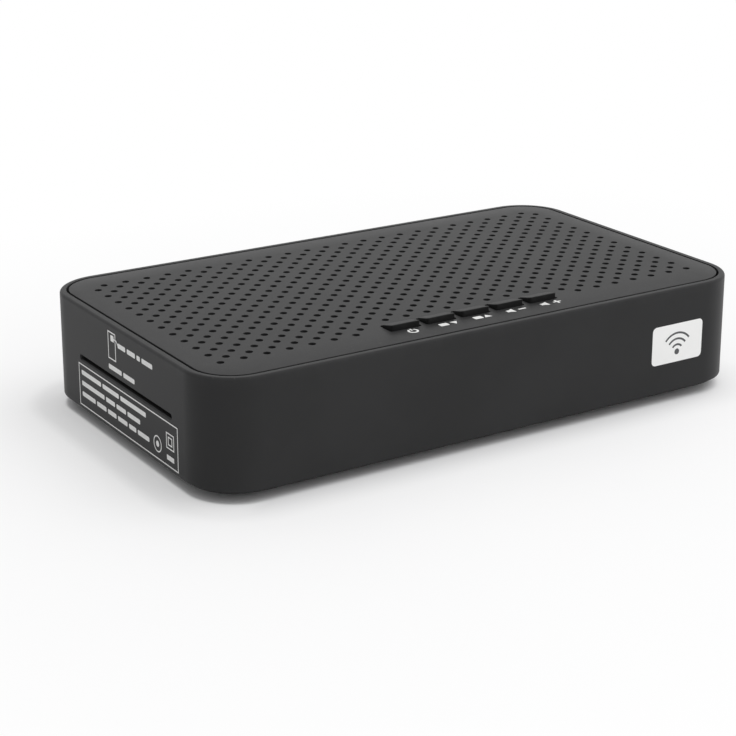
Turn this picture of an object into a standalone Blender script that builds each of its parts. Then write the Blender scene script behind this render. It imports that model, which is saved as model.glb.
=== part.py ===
"""Satellite television receiver, modelled as its separate pieces.

Metres, +Z up, with the ground at z = 0. The front of the case faces -Y and the
side with the card slot faces -X. Everything follows from the lengths below.
"""

import math

import bmesh
import bpy
from mathutils import Matrix

PART_NAME = "satellite_receiver"

# Fits and overruns that every piece shares
SEAT_GAP = 0.0003              # between pieces that rest on each other
CUT_OVERRUN = 0.0010           # how far a cutter passes the face that it opens
ROOT_SINK = 0.0006             # how far a moulded feature runs into its carrier

# Walls of the case, measured across the rim at the top
CASE_WIDTH = 0.1800
CASE_DEPTH = 0.1043
WALL_HEIGHT = 0.0312
WALL_THICKNESS = 0.0025
WALL_DRAFT_DEGREES = 0.4755    # by which the walls lean outward on their way down
CORNER_RADIUS = 0.0152
RIM_WIDTH = 0.00215             # thickness of the walls above the ledge
RIM_INNER_RADIUS = 0.0120
RIM_ROUND = 0.0008
LEDGE_WIDTH = 0.0013           # carries the edge of the top panel
LEDGE_HEIGHT = 0.0016
POST_RADIUS = 0.0024           # posts inside the walls that take the case screws
POST_INSET = 0.0070            # from the rim's front or rear face to a post's axis
POST_ALONG_SHARE = 0.400       # of the case's width, from its middle
POST_WEB = 0.0016              # thickness of the web that ties a post to its wall

# Top panel, flush in the rim
PANEL_THICKNESS = 0.0018
PANEL_SEAM = 0.0007            # open line all round the panel

# Vent holes: staggered rows over the whole panel but the keys' strip
VENT_RADIUS = 0.00125          # to the corners
VENT_SIDES = 4
VENT_PITCH = 0.00689           # along a row
VENT_ROW_PITCH = 0.00339
VENT_FRONT_INSET = 0.0146      # from the rim's front face to the first row
VENT_REAR_INSET = 0.0109       # at least, from the last row to the rim's rear face
VENT_SIDE_INSET = 0.0095       # from the rim's side face to the first hole
VENT_KEY_SIDE = 0.0050         # left free beside the row of keys
VENT_KEY_REAR = 0.0030         # left free behind the row of keys

# Base: a plate under the walls, set in from their faces so that it stays out of view
BASE_EDGE = 0.0008             # thickness of its edge, below the walls
BASE_INSET = 0.0016            # from the walls' outer faces at their feet
BASE_FLOOR = 0.0020
LIP_HEIGHT = 0.0020            # of the lip that stands inside the walls
LIP_THICKNESS = 0.0014
FLOOR_SLOT_LENGTH = 0.0220
FLOOR_SLOT_WIDTH = 0.0020
FLOOR_SLOT_PITCH = 0.0050
FLOOR_SLOT_COUNT = 7
FLOOR_SLOT_ALONG_SHARE = 0.150    # of the case's width, from its middle

# Rubber feet, set in shallow recesses
FOOT_HEIGHT = 0.0024           # that stands out below the base
FOOT_SUNK = 0.0006             # depth of the recess in the base
FOOT_RADIUS = 0.0050
FOOT_ROUND = 0.0003
FOOT_ALONG_SHARE = 0.390       # of the case's width, from its middle
FOOT_ACROSS_SHARE = 0.320      # of the case's depth, from its middle

# Screws
SCREW_SHANK_RADIUS = 0.0010
SCREW_HEAD_RADIUS = 0.0019
SCREW_HEAD_HEIGHT = 0.0009
SCREW_POINT = 0.0012           # length of the tapered end
SCREW_BITE = 0.0065            # length that sits in the piece held
HEAD_RECESS = 0.0011           # depth of the recess for a case screw's head

# Main board and its posts
BOARD_THICKNESS = 0.0016
BOARD_SIDE_INSET = 0.0220      # from the rim's side face
BOARD_FRONT_INSET = 0.0052     # from the rim's front face
BOARD_REAR_INSET = 0.0047      # from the rim's rear face
BOARD_CORNER = 0.0020
BOARD_POST_RADIUS = 0.0030
BOARD_SCREW_INSET = 0.0050     # from the board's side edge

# Card slot and reader
SLOT_DROP = 0.0155             # from the top of the case to the slot's middle
SLOT_LENGTH = 0.0570
SLOT_HEIGHT = 0.0012
SLOT_FORWARD = 0.0013          # from the case's middle to the slot's, towards the front
READER_REACH = 0.0545          # how far a card goes in
READER_STOP = 0.0020           # thickness of the frame behind the card
READER_RAIL = 0.0018
READER_FLOOR = 0.0020
READER_COVER = 0.0008
CONTACT_LENGTH = 0.0120
CONTACT_WIDTH = 0.0110
CONTACT_INSET = 0.0150         # from the card's stop to the contacts' middle

# Keys, wedges that rise above the panel towards the front
KEY_NAMES = ("power", "channel_down", "channel_up", "volume_down", "volume_up")
KEY_WIDTH = 0.0092
KEY_DEPTH = 0.0052
KEY_RISE = 0.0018              # of the front edge above the panel
KEY_FALL = 0.0014              # from the front edge to the rear edge
KEY_PITCH = 0.0117
KEY_SETBACK = 0.01475          # from the rim's front face to the keys' middle
KEY_CLEARANCE = 0.0004         # round a key, in the panel
KEY_ROUND = 0.0004
KEY_FLANGE = 0.0008            # width of the flange that keeps a key in
KEY_FLANGE_HEIGHT = 0.0010
KEY_STEM_WIDTH = 0.0030
KEY_STEM_LENGTH = 0.0018

# Switches and the board that carries them
KEY_TRAVEL = 0.0006
SWITCH_WIDTH = 0.0060
SWITCH_HEIGHT = 0.0034
PLUNGER_RADIUS = 0.0016
PLUNGER_RISE = 0.0012          # above the switch at rest
PLUNGER_SUNK = 0.0010          # inside the switch at rest
PLUNGER_PLAY = 0.0003          # round the plunger and under it when pressed
KEY_BOARD_SIDE = 0.0110        # beyond the outer keys' middles
KEY_BOARD_DEPTH = 0.0180
KEY_BOARD_FRONT = 0.0036       # from the rim's front face to the board
KEY_SCREW_INSET = 0.0045       # from the board's front edge
BRACKET_WIDTH = 0.0060
BRACKET_HEIGHT = 0.0034
BRACKET_SCREW_BITE = 0.0022

# Rear sockets, in a row with equal gaps between the board's rear screws
SOCKET_CLEARANCE = 0.0003      # round a socket, in the rear wall
SOCKET_PROUD = 0.0004          # how far a socket stands out of the rear wall

TUNER_WIDTH = 0.0280
TUNER_DEPTH = 0.0200
TUNER_HEIGHT = 0.0130
TUNER_ROUND = 0.0006
ANTENNA_RISE = 0.0065          # from the board to the antenna socket's axis
ANTENNA_RADIUS = 0.0047
ANTENNA_PROUD = 0.0100         # how far the threaded barrel stands out
ANTENNA_BORE = 0.0033
ANTENNA_BORE_DEPTH = 0.0080
ANTENNA_FLANGE_RADIUS = 0.0060
ANTENNA_FLANGE = 0.0010
ANTENNA_PIN_HOLE = 0.0008
ANTENNA_PIN_DEPTH = 0.0050
NUT_RADIUS = 0.0069            # to the corners
NUT_THICKNESS = 0.0025
WASHER_RADIUS = 0.0072
WASHER_THICKNESS = 0.0008

AUDIO_SIZE = 0.0098            # width and height of the audio socket's body
AUDIO_DEPTH = 0.0110
AUDIO_NOSE_RADIUS = 0.0034
AUDIO_NOSE_PROUD = 0.0068
AUDIO_HOLE_RADIUS = 0.0016
AUDIO_HOLE_DEPTH = 0.0120
SLEEVE_THICKNESS = 0.0005

AV_WIDTH = 0.0064
AV_HEIGHT = 0.0058
AV_DEPTH = 0.0125
AV_NOSE_RADIUS = 0.0027
AV_BORE_RADIUS = 0.00180
AV_BORE_DEPTH = 0.0120

HDMI_WIDTH = 0.0150
HDMI_HEIGHT = 0.0056
HDMI_DEPTH = 0.0115
HDMI_TONGUE_WIDTH = 0.0110
HDMI_TONGUE_HEIGHT = 0.0011
USB_WIDTH = 0.0132
USB_HEIGHT = 0.0058
USB_DEPTH = 0.0140
USB_TONGUE_WIDTH = 0.0106
USB_TONGUE_HEIGHT = 0.0018
SOCKET_SHELL = 0.0004          # sheet thickness of the two metal sockets
SOCKET_BACK = 0.0030           # solid part behind their cavities
TONGUE_SHORT = 0.0012          # how far a tongue stops short of the mouth

POWER_WIDTH = 0.0090
POWER_HEIGHT = 0.0108
POWER_DEPTH = 0.0140
POWER_BORE_RADIUS = 0.0032
POWER_BORE_DEPTH = 0.0095
POWER_PIN_RADIUS = 0.0010
POWER_PIN_SUNK = 0.0030        # length of the pin inside the jack's back
POWER_PIN_SHORT = 0.0010       # how far the pin stops short of the mouth

# Parts on the main board. Along: shares of the room between the card reader and the
# board's right edge, from the reader. Across: shares of the case's depth, from its middle.
PROCESSOR_SIZE = 0.0170
PROCESSOR_HEIGHT = 0.0018
PROCESSOR_ALONG_SHARE = 0.440
PROCESSOR_ACROSS_SHARE = 0.020
SINK_SIZE = 0.0260
SINK_BASE = 0.0018
SINK_FIN_HEIGHT = 0.0052
SINK_FINS = 6
SINK_FIN_SHARE = 0.38          # of the fins' pitch that a fin fills
MEMORY_LENGTH = 0.0125
MEMORY_WIDTH = 0.0080
MEMORY_HEIGHT = 0.0012
MEMORY_ALONG_SHARE = 0.175
MEMORY_ACROSS_SHARE = 0.020
CHIP_ROUND = 0.0002
CAPACITOR_RADIUS = 0.0040
CAPACITOR_HEIGHT = 0.0100
CAPACITOR_ROUND = 0.0006
CAPACITOR_PLACE_SHARES = ((0.130, 0.270), (0.775, 0.020))
INDUCTOR_SIZE = 0.0073
INDUCTOR_HEIGHT = 0.0040
INDUCTOR_ROUND = 0.0012
INDUCTOR_ALONG_SHARE = 0.105
INDUCTOR_ACROSS_SHARE = -0.130
CRYSTAL_LENGTH = 0.0105
CRYSTAL_WIDTH = 0.0042
CRYSTAL_HEIGHT = 0.0034
CRYSTAL_ALONG_SHARE = 0.710
CRYSTAL_ACROSS_SHARE = -0.150
LINK_WIDTH = 0.0200            # of the header that joins the two boards
LINK_DEPTH = 0.0025
LINK_SETBACK = 0.0020          # from the key board's rear edge

# Infra-red eye and standby lamp, just behind the front wall
EYE_WIDTH = 0.0052
EYE_HEIGHT = 0.0050
EYE_DEPTH = 0.0030
EYE_LENS_RADIUS = 0.0017
EYE_LENS_REACH = 0.0009
EYE_ALONG_SHARE = 0.100
LAMP_RADIUS = 0.0015
LAMP_LENGTH = 0.0046
LAMP_RIM = 0.0004
LAMP_RIM_LENGTH = 0.0010
LAMP_BLOCK_WIDTH = 0.0044
LAMP_BLOCK_HEIGHT = 0.0046
LAMP_BLOCK_DEPTH = 0.0030
LAMP_ALONG_SHARE = -0.100

# Facets
CORNER_STEPS = 8               # on each rounded corner of the case
SMALL_CORNER_STEPS = 2
TURN_STEPS = 20                # round a turned piece
SMALL_TURN_STEPS = 12          # round a screw or a small bore

# Colour, roughness and metallic value of each material
MATERIALS = {
    "case_plastic": ((0.055, 0.055, 0.058, 1.0), 0.55, 0.0),
    "key_plastic": ((0.050, 0.050, 0.053, 1.0), 0.50, 0.0),
    "rubber": ((0.025, 0.025, 0.025, 1.0), 0.85, 0.0),
    "socket_plastic": ((0.030, 0.030, 0.032, 1.0), 0.45, 0.0),
    "switch_cream": ((0.700, 0.640, 0.500, 1.0), 0.50, 0.0),
    "insulator_white": ((0.800, 0.790, 0.760, 1.0), 0.40, 0.0),
    "board_green": ((0.030, 0.160, 0.070, 1.0), 0.40, 0.0),
    "chip_black": ((0.030, 0.030, 0.030, 1.0), 0.60, 0.0),
    "tin_plate": ((0.620, 0.620, 0.600, 1.0), 0.35, 1.0),
    "nickel": ((0.700, 0.690, 0.660, 1.0), 0.28, 1.0),
    "zinc_screw": ((0.350, 0.350, 0.360, 1.0), 0.40, 1.0),
    "sink_aluminium": ((0.550, 0.560, 0.570, 1.0), 0.45, 1.0),
    "contact_gold": ((0.900, 0.680, 0.280, 1.0), 0.30, 1.0),
    "lamp_red": ((0.550, 0.030, 0.030, 1.0), 0.25, 0.0),
}

# Heights above the ground
base_bottom = FOOT_HEIGHT
base_top = base_bottom + BASE_EDGE
floor_top = base_bottom + BASE_FLOOR
wall_bottom = base_top + SEAT_GAP
case_top = wall_bottom + WALL_HEIGHT
panel_bottom = case_top - PANEL_THICKNESS
ledge_top = panel_bottom - SEAT_GAP
slot_middle = case_top - SLOT_DROP
channel_floor = slot_middle - SLOT_HEIGHT / 2
channel_roof = slot_middle + SLOT_HEIGHT / 2
reader_bottom = channel_floor - READER_FLOOR
board_top = reader_bottom - SEAT_GAP
board_bottom = board_top - BOARD_THICKNESS
flange_top = panel_bottom - SEAT_GAP
stem_bottom = flange_top - KEY_FLANGE_HEIGHT - KEY_STEM_LENGTH
plunger_top = stem_bottom - SEAT_GAP
switch_top = plunger_top - PLUNGER_RISE
switch_bottom = switch_top - SWITCH_HEIGHT
key_board_top = switch_bottom - SEAT_GAP
key_board_bottom = key_board_top - BOARD_THICKNESS
bracket_top = key_board_bottom - SEAT_GAP

# Places in plan, from the middle of the case
half_width = CASE_WIDTH / 2
half_depth = CASE_DEPTH / 2
panel_half_width = half_width - RIM_WIDTH - PANEL_SEAM
panel_half_depth = half_depth - RIM_WIDTH - PANEL_SEAM
keys_y = KEY_SETBACK - half_depth
key_board_y = KEY_BOARD_FRONT + KEY_BOARD_DEPTH / 2 - half_depth
board_half_width = half_width - BOARD_SIDE_INSET
board_front = BOARD_FRONT_INSET - half_depth
board_rear = half_depth - BOARD_REAR_INSET
key_places = [(index - (len(KEY_NAMES) - 1) / 2) * KEY_PITCH for index in range(len(KEY_NAMES))]
wall_slope = math.tan(math.radians(WALL_DRAFT_DEGREES))


def spread(height):
    """How far the walls stand out, at a height, beyond their place at the top."""
    return wall_slope * (case_top - height)


def rear_outside(height):
    return half_depth + spread(height)


def rear_inside(height):
    return rear_outside(height) - WALL_THICKNESS


# The card reader's box in plan, against the inside of the left wall
reader_left = WALL_THICKNESS + SEAT_GAP - half_width - spread(channel_roof)
reader_right = reader_left + READER_REACH + READER_STOP
reader_front = -SLOT_FORWARD - SLOT_LENGTH / 2 - READER_RAIL
reader_rear = SLOT_LENGTH / 2 + READER_RAIL - SLOT_FORWARD

# Scene, collections and materials
for item in list(bpy.data.objects):
    bpy.data.objects.remove(item)

parts = bpy.data.collections.new(PART_NAME)
cutters = bpy.data.collections.new(PART_NAME + "_cutters")
bpy.context.scene.collection.children.link(parts)
bpy.context.scene.collection.children.link(cutters)

# The whole receiver hangs on one empty. The antenna socket stands out at the
# rear, so the case sits forward by half of that and the part's box is centred.
frame = bpy.data.objects.new("receiver_frame", None)
antenna_height = board_top + ANTENNA_RISE
rear_extent = rear_outside(antenna_height) + ANTENNA_PROUD
front_extent = half_depth + spread(wall_bottom)
frame.location = (0.0, (front_extent - rear_extent) / 2, 0.0)
parts.objects.link(frame)


def make_material(name):
    colour, roughness, metallic = MATERIALS[name]
    material = bpy.data.materials.new(name)
    material.use_nodes = True
    shader = material.node_tree.nodes["Principled BSDF"]
    shader.inputs["Base Color"].default_value = colour
    shader.inputs["Roughness"].default_value = roughness
    shader.inputs["Metallic"].default_value = metallic
    material.diffuse_color = colour
    return material


materials = {name: make_material(name) for name in MATERIALS}


# Building blocks
def rounded_outline(half_x, half_y, radius, steps=CORNER_STEPS):
    """A rectangle's outline with its corners as arcs, counterclockwise."""
    points = []
    for quarter, (sign_x, sign_y) in enumerate(((1, 1), (-1, 1), (-1, -1), (1, -1))):
        for step in range(steps + 1):
            angle = math.pi / 2 * (quarter + step / steps)
            points.append((sign_x * (half_x - radius) + radius * math.cos(angle),
                           sign_y * (half_y - radius) + radius * math.sin(angle)))
    return points


def round_outline(radius, sides=TURN_STEPS, centre=(0.0, 0.0)):
    """A regular polygon's outline, with one corner along +X."""
    turn = 2 * math.pi / sides
    return [(centre[0] + radius * math.cos(turn * side), centre[1] + radius * math.sin(turn * side))
            for side in range(sides)]


def box_outline(size_x, size_y, centre=(0.0, 0.0)):
    return [(centre[0] + sign_x * size_x / 2, centre[1] + sign_y * size_y / 2)
            for sign_x, sign_y in ((1, 1), (-1, 1), (-1, -1), (1, -1))]


def place_object(name, mesh, place, material):
    """Put a mesh in the scene as a piece of the receiver, or as a cutter if it has no material."""
    item = bpy.data.objects.new(name, mesh)
    item.parent = frame
    item.location = place
    if material is None:
        cutters.objects.link(item)
        item.hide_render = True
        item.display_type = "WIRE"
    else:
        parts.objects.link(item)
        mesh.materials.clear()
        mesh.materials.append(materials[material])
    return item


def shade_round(mesh):
    mesh.shade_smooth()
    mesh.set_sharp_from_angle(angle=math.radians(35))


def plate(name, outlines, thickness, place, material):
    """A flat piece: the first outline is its edge and the others are holes through it."""
    curve = bpy.data.curves.new(name, "CURVE")
    curve.dimensions = "2D"
    curve.fill_mode = "BOTH"
    curve.extrude = thickness / 2
    for outline in outlines:
        spline = curve.splines.new("POLY")
        spline.points.add(len(outline) - 1)
        spline.use_cyclic_u = True
        for point, (x, y) in zip(spline.points, outline):
            point.co = (x, y, 0.0, 1.0)
    flat = bpy.data.objects.new(name + "_curve", curve)
    bpy.context.scene.collection.objects.link(flat)
    graph = bpy.context.evaluated_depsgraph_get()
    mesh = bpy.data.meshes.new_from_object(flat.evaluated_get(graph))
    bpy.data.objects.remove(flat)
    bpy.data.curves.remove(curve)
    work = bmesh.new()
    work.from_mesh(mesh)
    bmesh.ops.remove_doubles(work, verts=work.verts, dist=SEAT_GAP / 100)
    if len(outlines) == 1:
        bmesh.ops.dissolve_limit(work, angle_limit=math.radians(1), verts=work.verts, edges=work.edges)
    work.to_mesh(mesh)
    work.free()
    mesh.name = name
    return place_object(name, mesh, place, material)


def solids(name, shapes, place, material):
    """Boxes and rods in one object. A box is (size, centre), a rod (radius, length, axis, centre)."""
    turns = {"X": Matrix.Rotation(math.pi / 2, 4, "Y"),
             "Y": Matrix.Rotation(-math.pi / 2, 4, "X"),
             "Z": Matrix.Identity(4)}
    work = bmesh.new()
    for shape in shapes:
        shift = Matrix.Translation(shape[-1])
        if len(shape) == 2:
            bmesh.ops.create_cube(work, size=1.0, matrix=shift @ Matrix.Diagonal((*shape[0], 1.0)))
        else:
            radius, length, axis = shape[:3]
            bmesh.ops.create_cone(work, cap_ends=True, segments=SMALL_TURN_STEPS, radius1=radius,
                                  radius2=radius, depth=length, matrix=shift @ turns[axis])
    mesh = bpy.data.meshes.new(name)
    work.to_mesh(mesh)
    work.free()
    return place_object(name, mesh, place, material)


def turned(name, profile, place, material, steps=TURN_STEPS):
    """A profile of (radius, height) points, turned about Z. It runs down its outer side."""
    mesh = bpy.data.meshes.new(name)
    mesh.from_pydata([(radius, 0.0, height) for radius, height in profile],
                     [(index, index + 1) for index in range(len(profile) - 1)], [])
    item = place_object(name, mesh, place, material)
    screw = item.modifiers.new("turn", "SCREW")
    screw.axis = "Z"
    screw.steps = steps
    screw.render_steps = steps
    screw.use_merge_vertices = True
    screw.merge_threshold = SEAT_GAP / 100
    settle(item)
    shade_round(item.data)
    return item


def settle(item):
    """Replace a piece's live modifiers by the mesh that they give."""
    graph = bpy.context.evaluated_depsgraph_get()
    mesh = bpy.data.meshes.new_from_object(item.evaluated_get(graph))
    item.modifiers.clear()
    item.data = mesh


def combine(item, operation, shape):
    modifier = item.modifiers.new(shape.name, "BOOLEAN")
    modifier.operation = operation
    modifier.solver = "EXACT"
    modifier.object = shape


def soften(item, width, segments=1, edge_test=None):
    """Bevel the edges of a piece, or those for which the test of their two ends holds."""
    bevel = item.modifiers.new("soften", "BEVEL")
    bevel.width = width
    bevel.segments = segments
    bevel.limit_method = "ANGLE"
    bevel.angle_limit = math.radians(50)
    if edge_test is None:
        return
    bevel.limit_method = "WEIGHT"
    vertices = item.data.vertices
    weights = item.data.attributes.new("bevel_weight_edge", "FLOAT", "EDGE")
    for edge in item.data.edges:
        ends = [vertices[index].co for index in edge.vertices]
        weights.data[edge.index].value = 1.0 if edge_test(*ends) else 0.0


def taper(item, width, depth, run):
    """Draw a prism's plan out by run, per side, for each unit of drop below its top."""
    highest = max(vertex.co.z for vertex in item.data.vertices)
    for vertex in item.data.vertices:
        drop = highest - vertex.co.z
        vertex.co.x *= 1.0 + 2 * run * drop / width
        vertex.co.y *= 1.0 + 2 * run * drop / depth


def corner_places(along, front, rear):
    """Four named places in plan, at a distance along from the middle and at two depths."""
    return {"front_left": (-along, front), "front_right": (along, front),
            "rear_left": (-along, rear), "rear_right": (along, rear)}


post_across = half_depth - POST_INSET
post_places = corner_places(POST_ALONG_SHARE * CASE_WIDTH, -post_across, post_across)
foot_across = FOOT_ACROSS_SHARE * CASE_DEPTH
foot_places = corner_places(FOOT_ALONG_SHARE * CASE_WIDTH, -foot_across, foot_across)

# The board's screws stand midway between the card reader and the board's edge
board_screw_along = board_half_width - BOARD_SCREW_INSET
board_screw_places = corner_places(board_screw_along, (reader_front + board_front) / 2,
                                   (reader_rear + board_rear) / 2)
bracket_x = (key_places[-1] - key_places[0]) / 2 + KEY_BOARD_SIDE - BRACKET_WIDTH / 2
key_screw_y = KEY_BOARD_FRONT + KEY_SCREW_INSET - half_depth
key_screw_places = {"left": (-bracket_x, key_screw_y), "right": (bracket_x, key_screw_y)}

# The rear sockets' middles, from the left
socket_widths = {"power": POWER_WIDTH, "usb": USB_WIDTH, "hdmi": HDMI_WIDTH,
                 "av": AV_WIDTH, "audio": AUDIO_SIZE, "antenna": TUNER_WIDTH}
row_start = SCREW_HEAD_RADIUS - board_screw_along
socket_gap = (-2 * row_start - sum(socket_widths.values())) / (len(socket_widths) + 1)
socket_x = {}
for socket_name, socket_width in socket_widths.items():
    socket_x[socket_name] = row_start + socket_gap + socket_width / 2
    row_start += socket_gap + socket_width

# Each rear socket's middle and the size of its hole in the wall: width and height, or a radius
audio_height = board_top + SEAT_GAP + AUDIO_SIZE / 2
av_height = board_top + SEAT_GAP + AV_HEIGHT / 2
hdmi_height = board_top + SEAT_GAP + HDMI_HEIGHT / 2
usb_height = board_top + SEAT_GAP + USB_HEIGHT / 2
power_height = board_top + SEAT_GAP + POWER_HEIGHT / 2
sleeve_inner = AUDIO_NOSE_RADIUS + SEAT_GAP
sleeve_outer = sleeve_inner + SLEEVE_THICKNESS
rear_holes = [
    (socket_x["antenna"], antenna_height, ANTENNA_RADIUS),
    (socket_x["audio"], audio_height, sleeve_outer),
    (socket_x["av"], av_height, AV_NOSE_RADIUS),
    (socket_x["hdmi"], hdmi_height, (HDMI_WIDTH, HDMI_HEIGHT)),
    (socket_x["usb"], usb_height, (USB_WIDTH, USB_HEIGHT)),
    (socket_x["power"], power_height, (POWER_WIDTH, POWER_HEIGHT)),
]


# Case
def wall_cavity(name, inset, low, high, radius):
    """A cutter for the room inside the walls, between two heights, tapered as they are."""
    cavity = plate(name, [rounded_outline(half_width - inset, half_depth - inset, radius)],
                   high - low, (0.0, 0.0, (low + high) / 2), None)
    taper(cavity, CASE_WIDTH, CASE_DEPTH, wall_slope)
    for vertex in cavity.data.vertices:
        vertex.co.x *= 1.0 + 2 * spread(high) / CASE_WIDTH
        vertex.co.y *= 1.0 + 2 * spread(high) / CASE_DEPTH
    return cavity


def add_webs(posts):
    """The screw posts, each with a web that runs from its axis into the wall beside it."""
    web_bottom = wall_bottom + LIP_HEIGHT + SEAT_GAP
    web_reach = POST_INSET - WALL_THICKNESS + ROOT_SINK
    webs = [((POST_WEB, web_reach, ledge_top - web_bottom),
             (x, y + math.copysign(web_reach / 2, y), (ledge_top + web_bottom) / 2))
            for x, y in post_places.values()]
    shape = solids("screw_posts", posts, (0.0, 0.0, 0.0), None)
    combine(shape, "UNION", solids("post_webs", webs, (0.0, 0.0, 0.0), None))
    bpy.context.view_layer.update()
    settle(shape)
    return shape


def make_housing():
    """Four walls in one tube: a ledge inside the rim, the card slot and the rear holes."""
    housing = plate("housing", [rounded_outline(half_width, half_depth, CORNER_RADIUS)],
                    WALL_HEIGHT, (0.0, 0.0, wall_bottom + WALL_HEIGHT / 2), "case_plastic")
    soften(housing, RIM_ROUND, 2, lambda start, end: min(start.z, end.z) > 0.0)
    taper(housing, CASE_WIDTH, CASE_DEPTH, wall_slope)
    ledge_bottom = ledge_top - LEDGE_HEIGHT
    rooms = [("rim_room", RIM_WIDTH, ledge_top, case_top + CUT_OVERRUN),
             ("ledge_room", WALL_THICKNESS + LEDGE_WIDTH, ledge_bottom - CUT_OVERRUN,
              ledge_top + CUT_OVERRUN),
             ("inner_room", WALL_THICKNESS, wall_bottom - CUT_OVERRUN, ledge_bottom)]
    for name, inset, low, high in rooms:
        combine(housing, "DIFFERENCE", wall_cavity(name, inset, low, high, RIM_INNER_RADIUS))

    post_bottom = floor_top + SEAT_GAP
    posts = [(POST_RADIUS, ledge_top - post_bottom, "Z", (x, y, (ledge_top + post_bottom) / 2))
             for x, y in post_places.values()]
    combine(housing, "UNION", add_webs(posts))
    bite = SCREW_BITE + SCREW_POINT
    bores = [(SCREW_SHANK_RADIUS + SEAT_GAP, bite + CUT_OVERRUN, "Z",
              (x, y, post_bottom + (bite - CUT_OVERRUN) / 2)) for x, y in post_places.values()]
    combine(housing, "DIFFERENCE", solids("post_bores", bores, (0.0, 0.0, 0.0), None))

    bracket_front = WALL_THICKNESS - ROOT_SINK - half_depth
    bracket_rear = key_screw_y + BRACKET_WIDTH / 2
    bracket_size = (BRACKET_WIDTH, bracket_rear - bracket_front, BRACKET_HEIGHT)
    bracket_y = (bracket_front + bracket_rear) / 2
    bracket_z = bracket_top - BRACKET_HEIGHT / 2
    brackets = [(bracket_size, (x, bracket_y, bracket_z)) for x in (-bracket_x, bracket_x)]
    combine(housing, "UNION", solids("key_brackets", brackets, (0.0, 0.0, 0.0), None))

    wall_room = WALL_THICKNESS + 2 * CUT_OVERRUN
    openings = [((wall_room, SLOT_LENGTH, SLOT_HEIGHT),
                 (-half_width - spread(slot_middle) + WALL_THICKNESS / 2, -SLOT_FORWARD, slot_middle))]
    for x, height, hole in rear_holes:
        middle = (x, rear_outside(height) - WALL_THICKNESS / 2, height)
        if isinstance(hole, tuple):
            width = hole[0] + 2 * SOCKET_CLEARANCE
            rise = hole[1] + 2 * SOCKET_CLEARANCE
            openings.append(((width, wall_room, rise), middle))
        else:
            openings.append((hole + 2 * SOCKET_CLEARANCE, wall_room, "Y", middle))
    openings += [(SCREW_SHANK_RADIUS + SEAT_GAP, BRACKET_HEIGHT + 2 * CUT_OVERRUN, "Z", (x, y, bracket_z))
                 for x, y in key_screw_places.values()]
    combine(housing, "DIFFERENCE", solids("wall_openings", openings, (0.0, 0.0, 0.0), None))
    shade_round(housing.data)
    return housing


def vent_centres():
    """Places of the vent holes, every second row shifted by half a pitch."""
    keys_side = (key_places[-1] - key_places[0] + KEY_WIDTH) / 2 + VENT_KEY_SIDE
    keys_rear = keys_y + KEY_DEPTH / 2 + VENT_KEY_REAR
    reach = half_width - VENT_SIDE_INSET
    longest = math.floor(2 * reach / VENT_PITCH + 0.5) + 1
    rows = math.floor((CASE_DEPTH - VENT_FRONT_INSET - VENT_REAR_INSET) / VENT_ROW_PITCH) + 1
    centres = []
    for row in range(rows):
        y = VENT_FRONT_INSET - half_depth + row * VENT_ROW_PITCH
        count = longest - row % 2
        for column in range(count):
            x = (column - (count - 1) / 2) * VENT_PITCH
            if abs(x) > keys_side or y > keys_rear:
                centres.append((x, y))
    return centres


def make_top_panel():
    """The lid: a flat plate with the vent holes and the keys' windows."""
    outlines = [rounded_outline(panel_half_width, panel_half_depth, RIM_INNER_RADIUS - PANEL_SEAM)]
    outlines += [round_outline(VENT_RADIUS, VENT_SIDES, centre) for centre in vent_centres()]
    outlines += [box_outline(KEY_WIDTH + 2 * KEY_CLEARANCE, KEY_DEPTH + 2 * KEY_CLEARANCE, (x, keys_y))
                 for x in key_places]
    plate("top_panel", outlines, PANEL_THICKNESS, (0.0, 0.0, panel_bottom + PANEL_THICKNESS / 2),
          "case_plastic")


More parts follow.
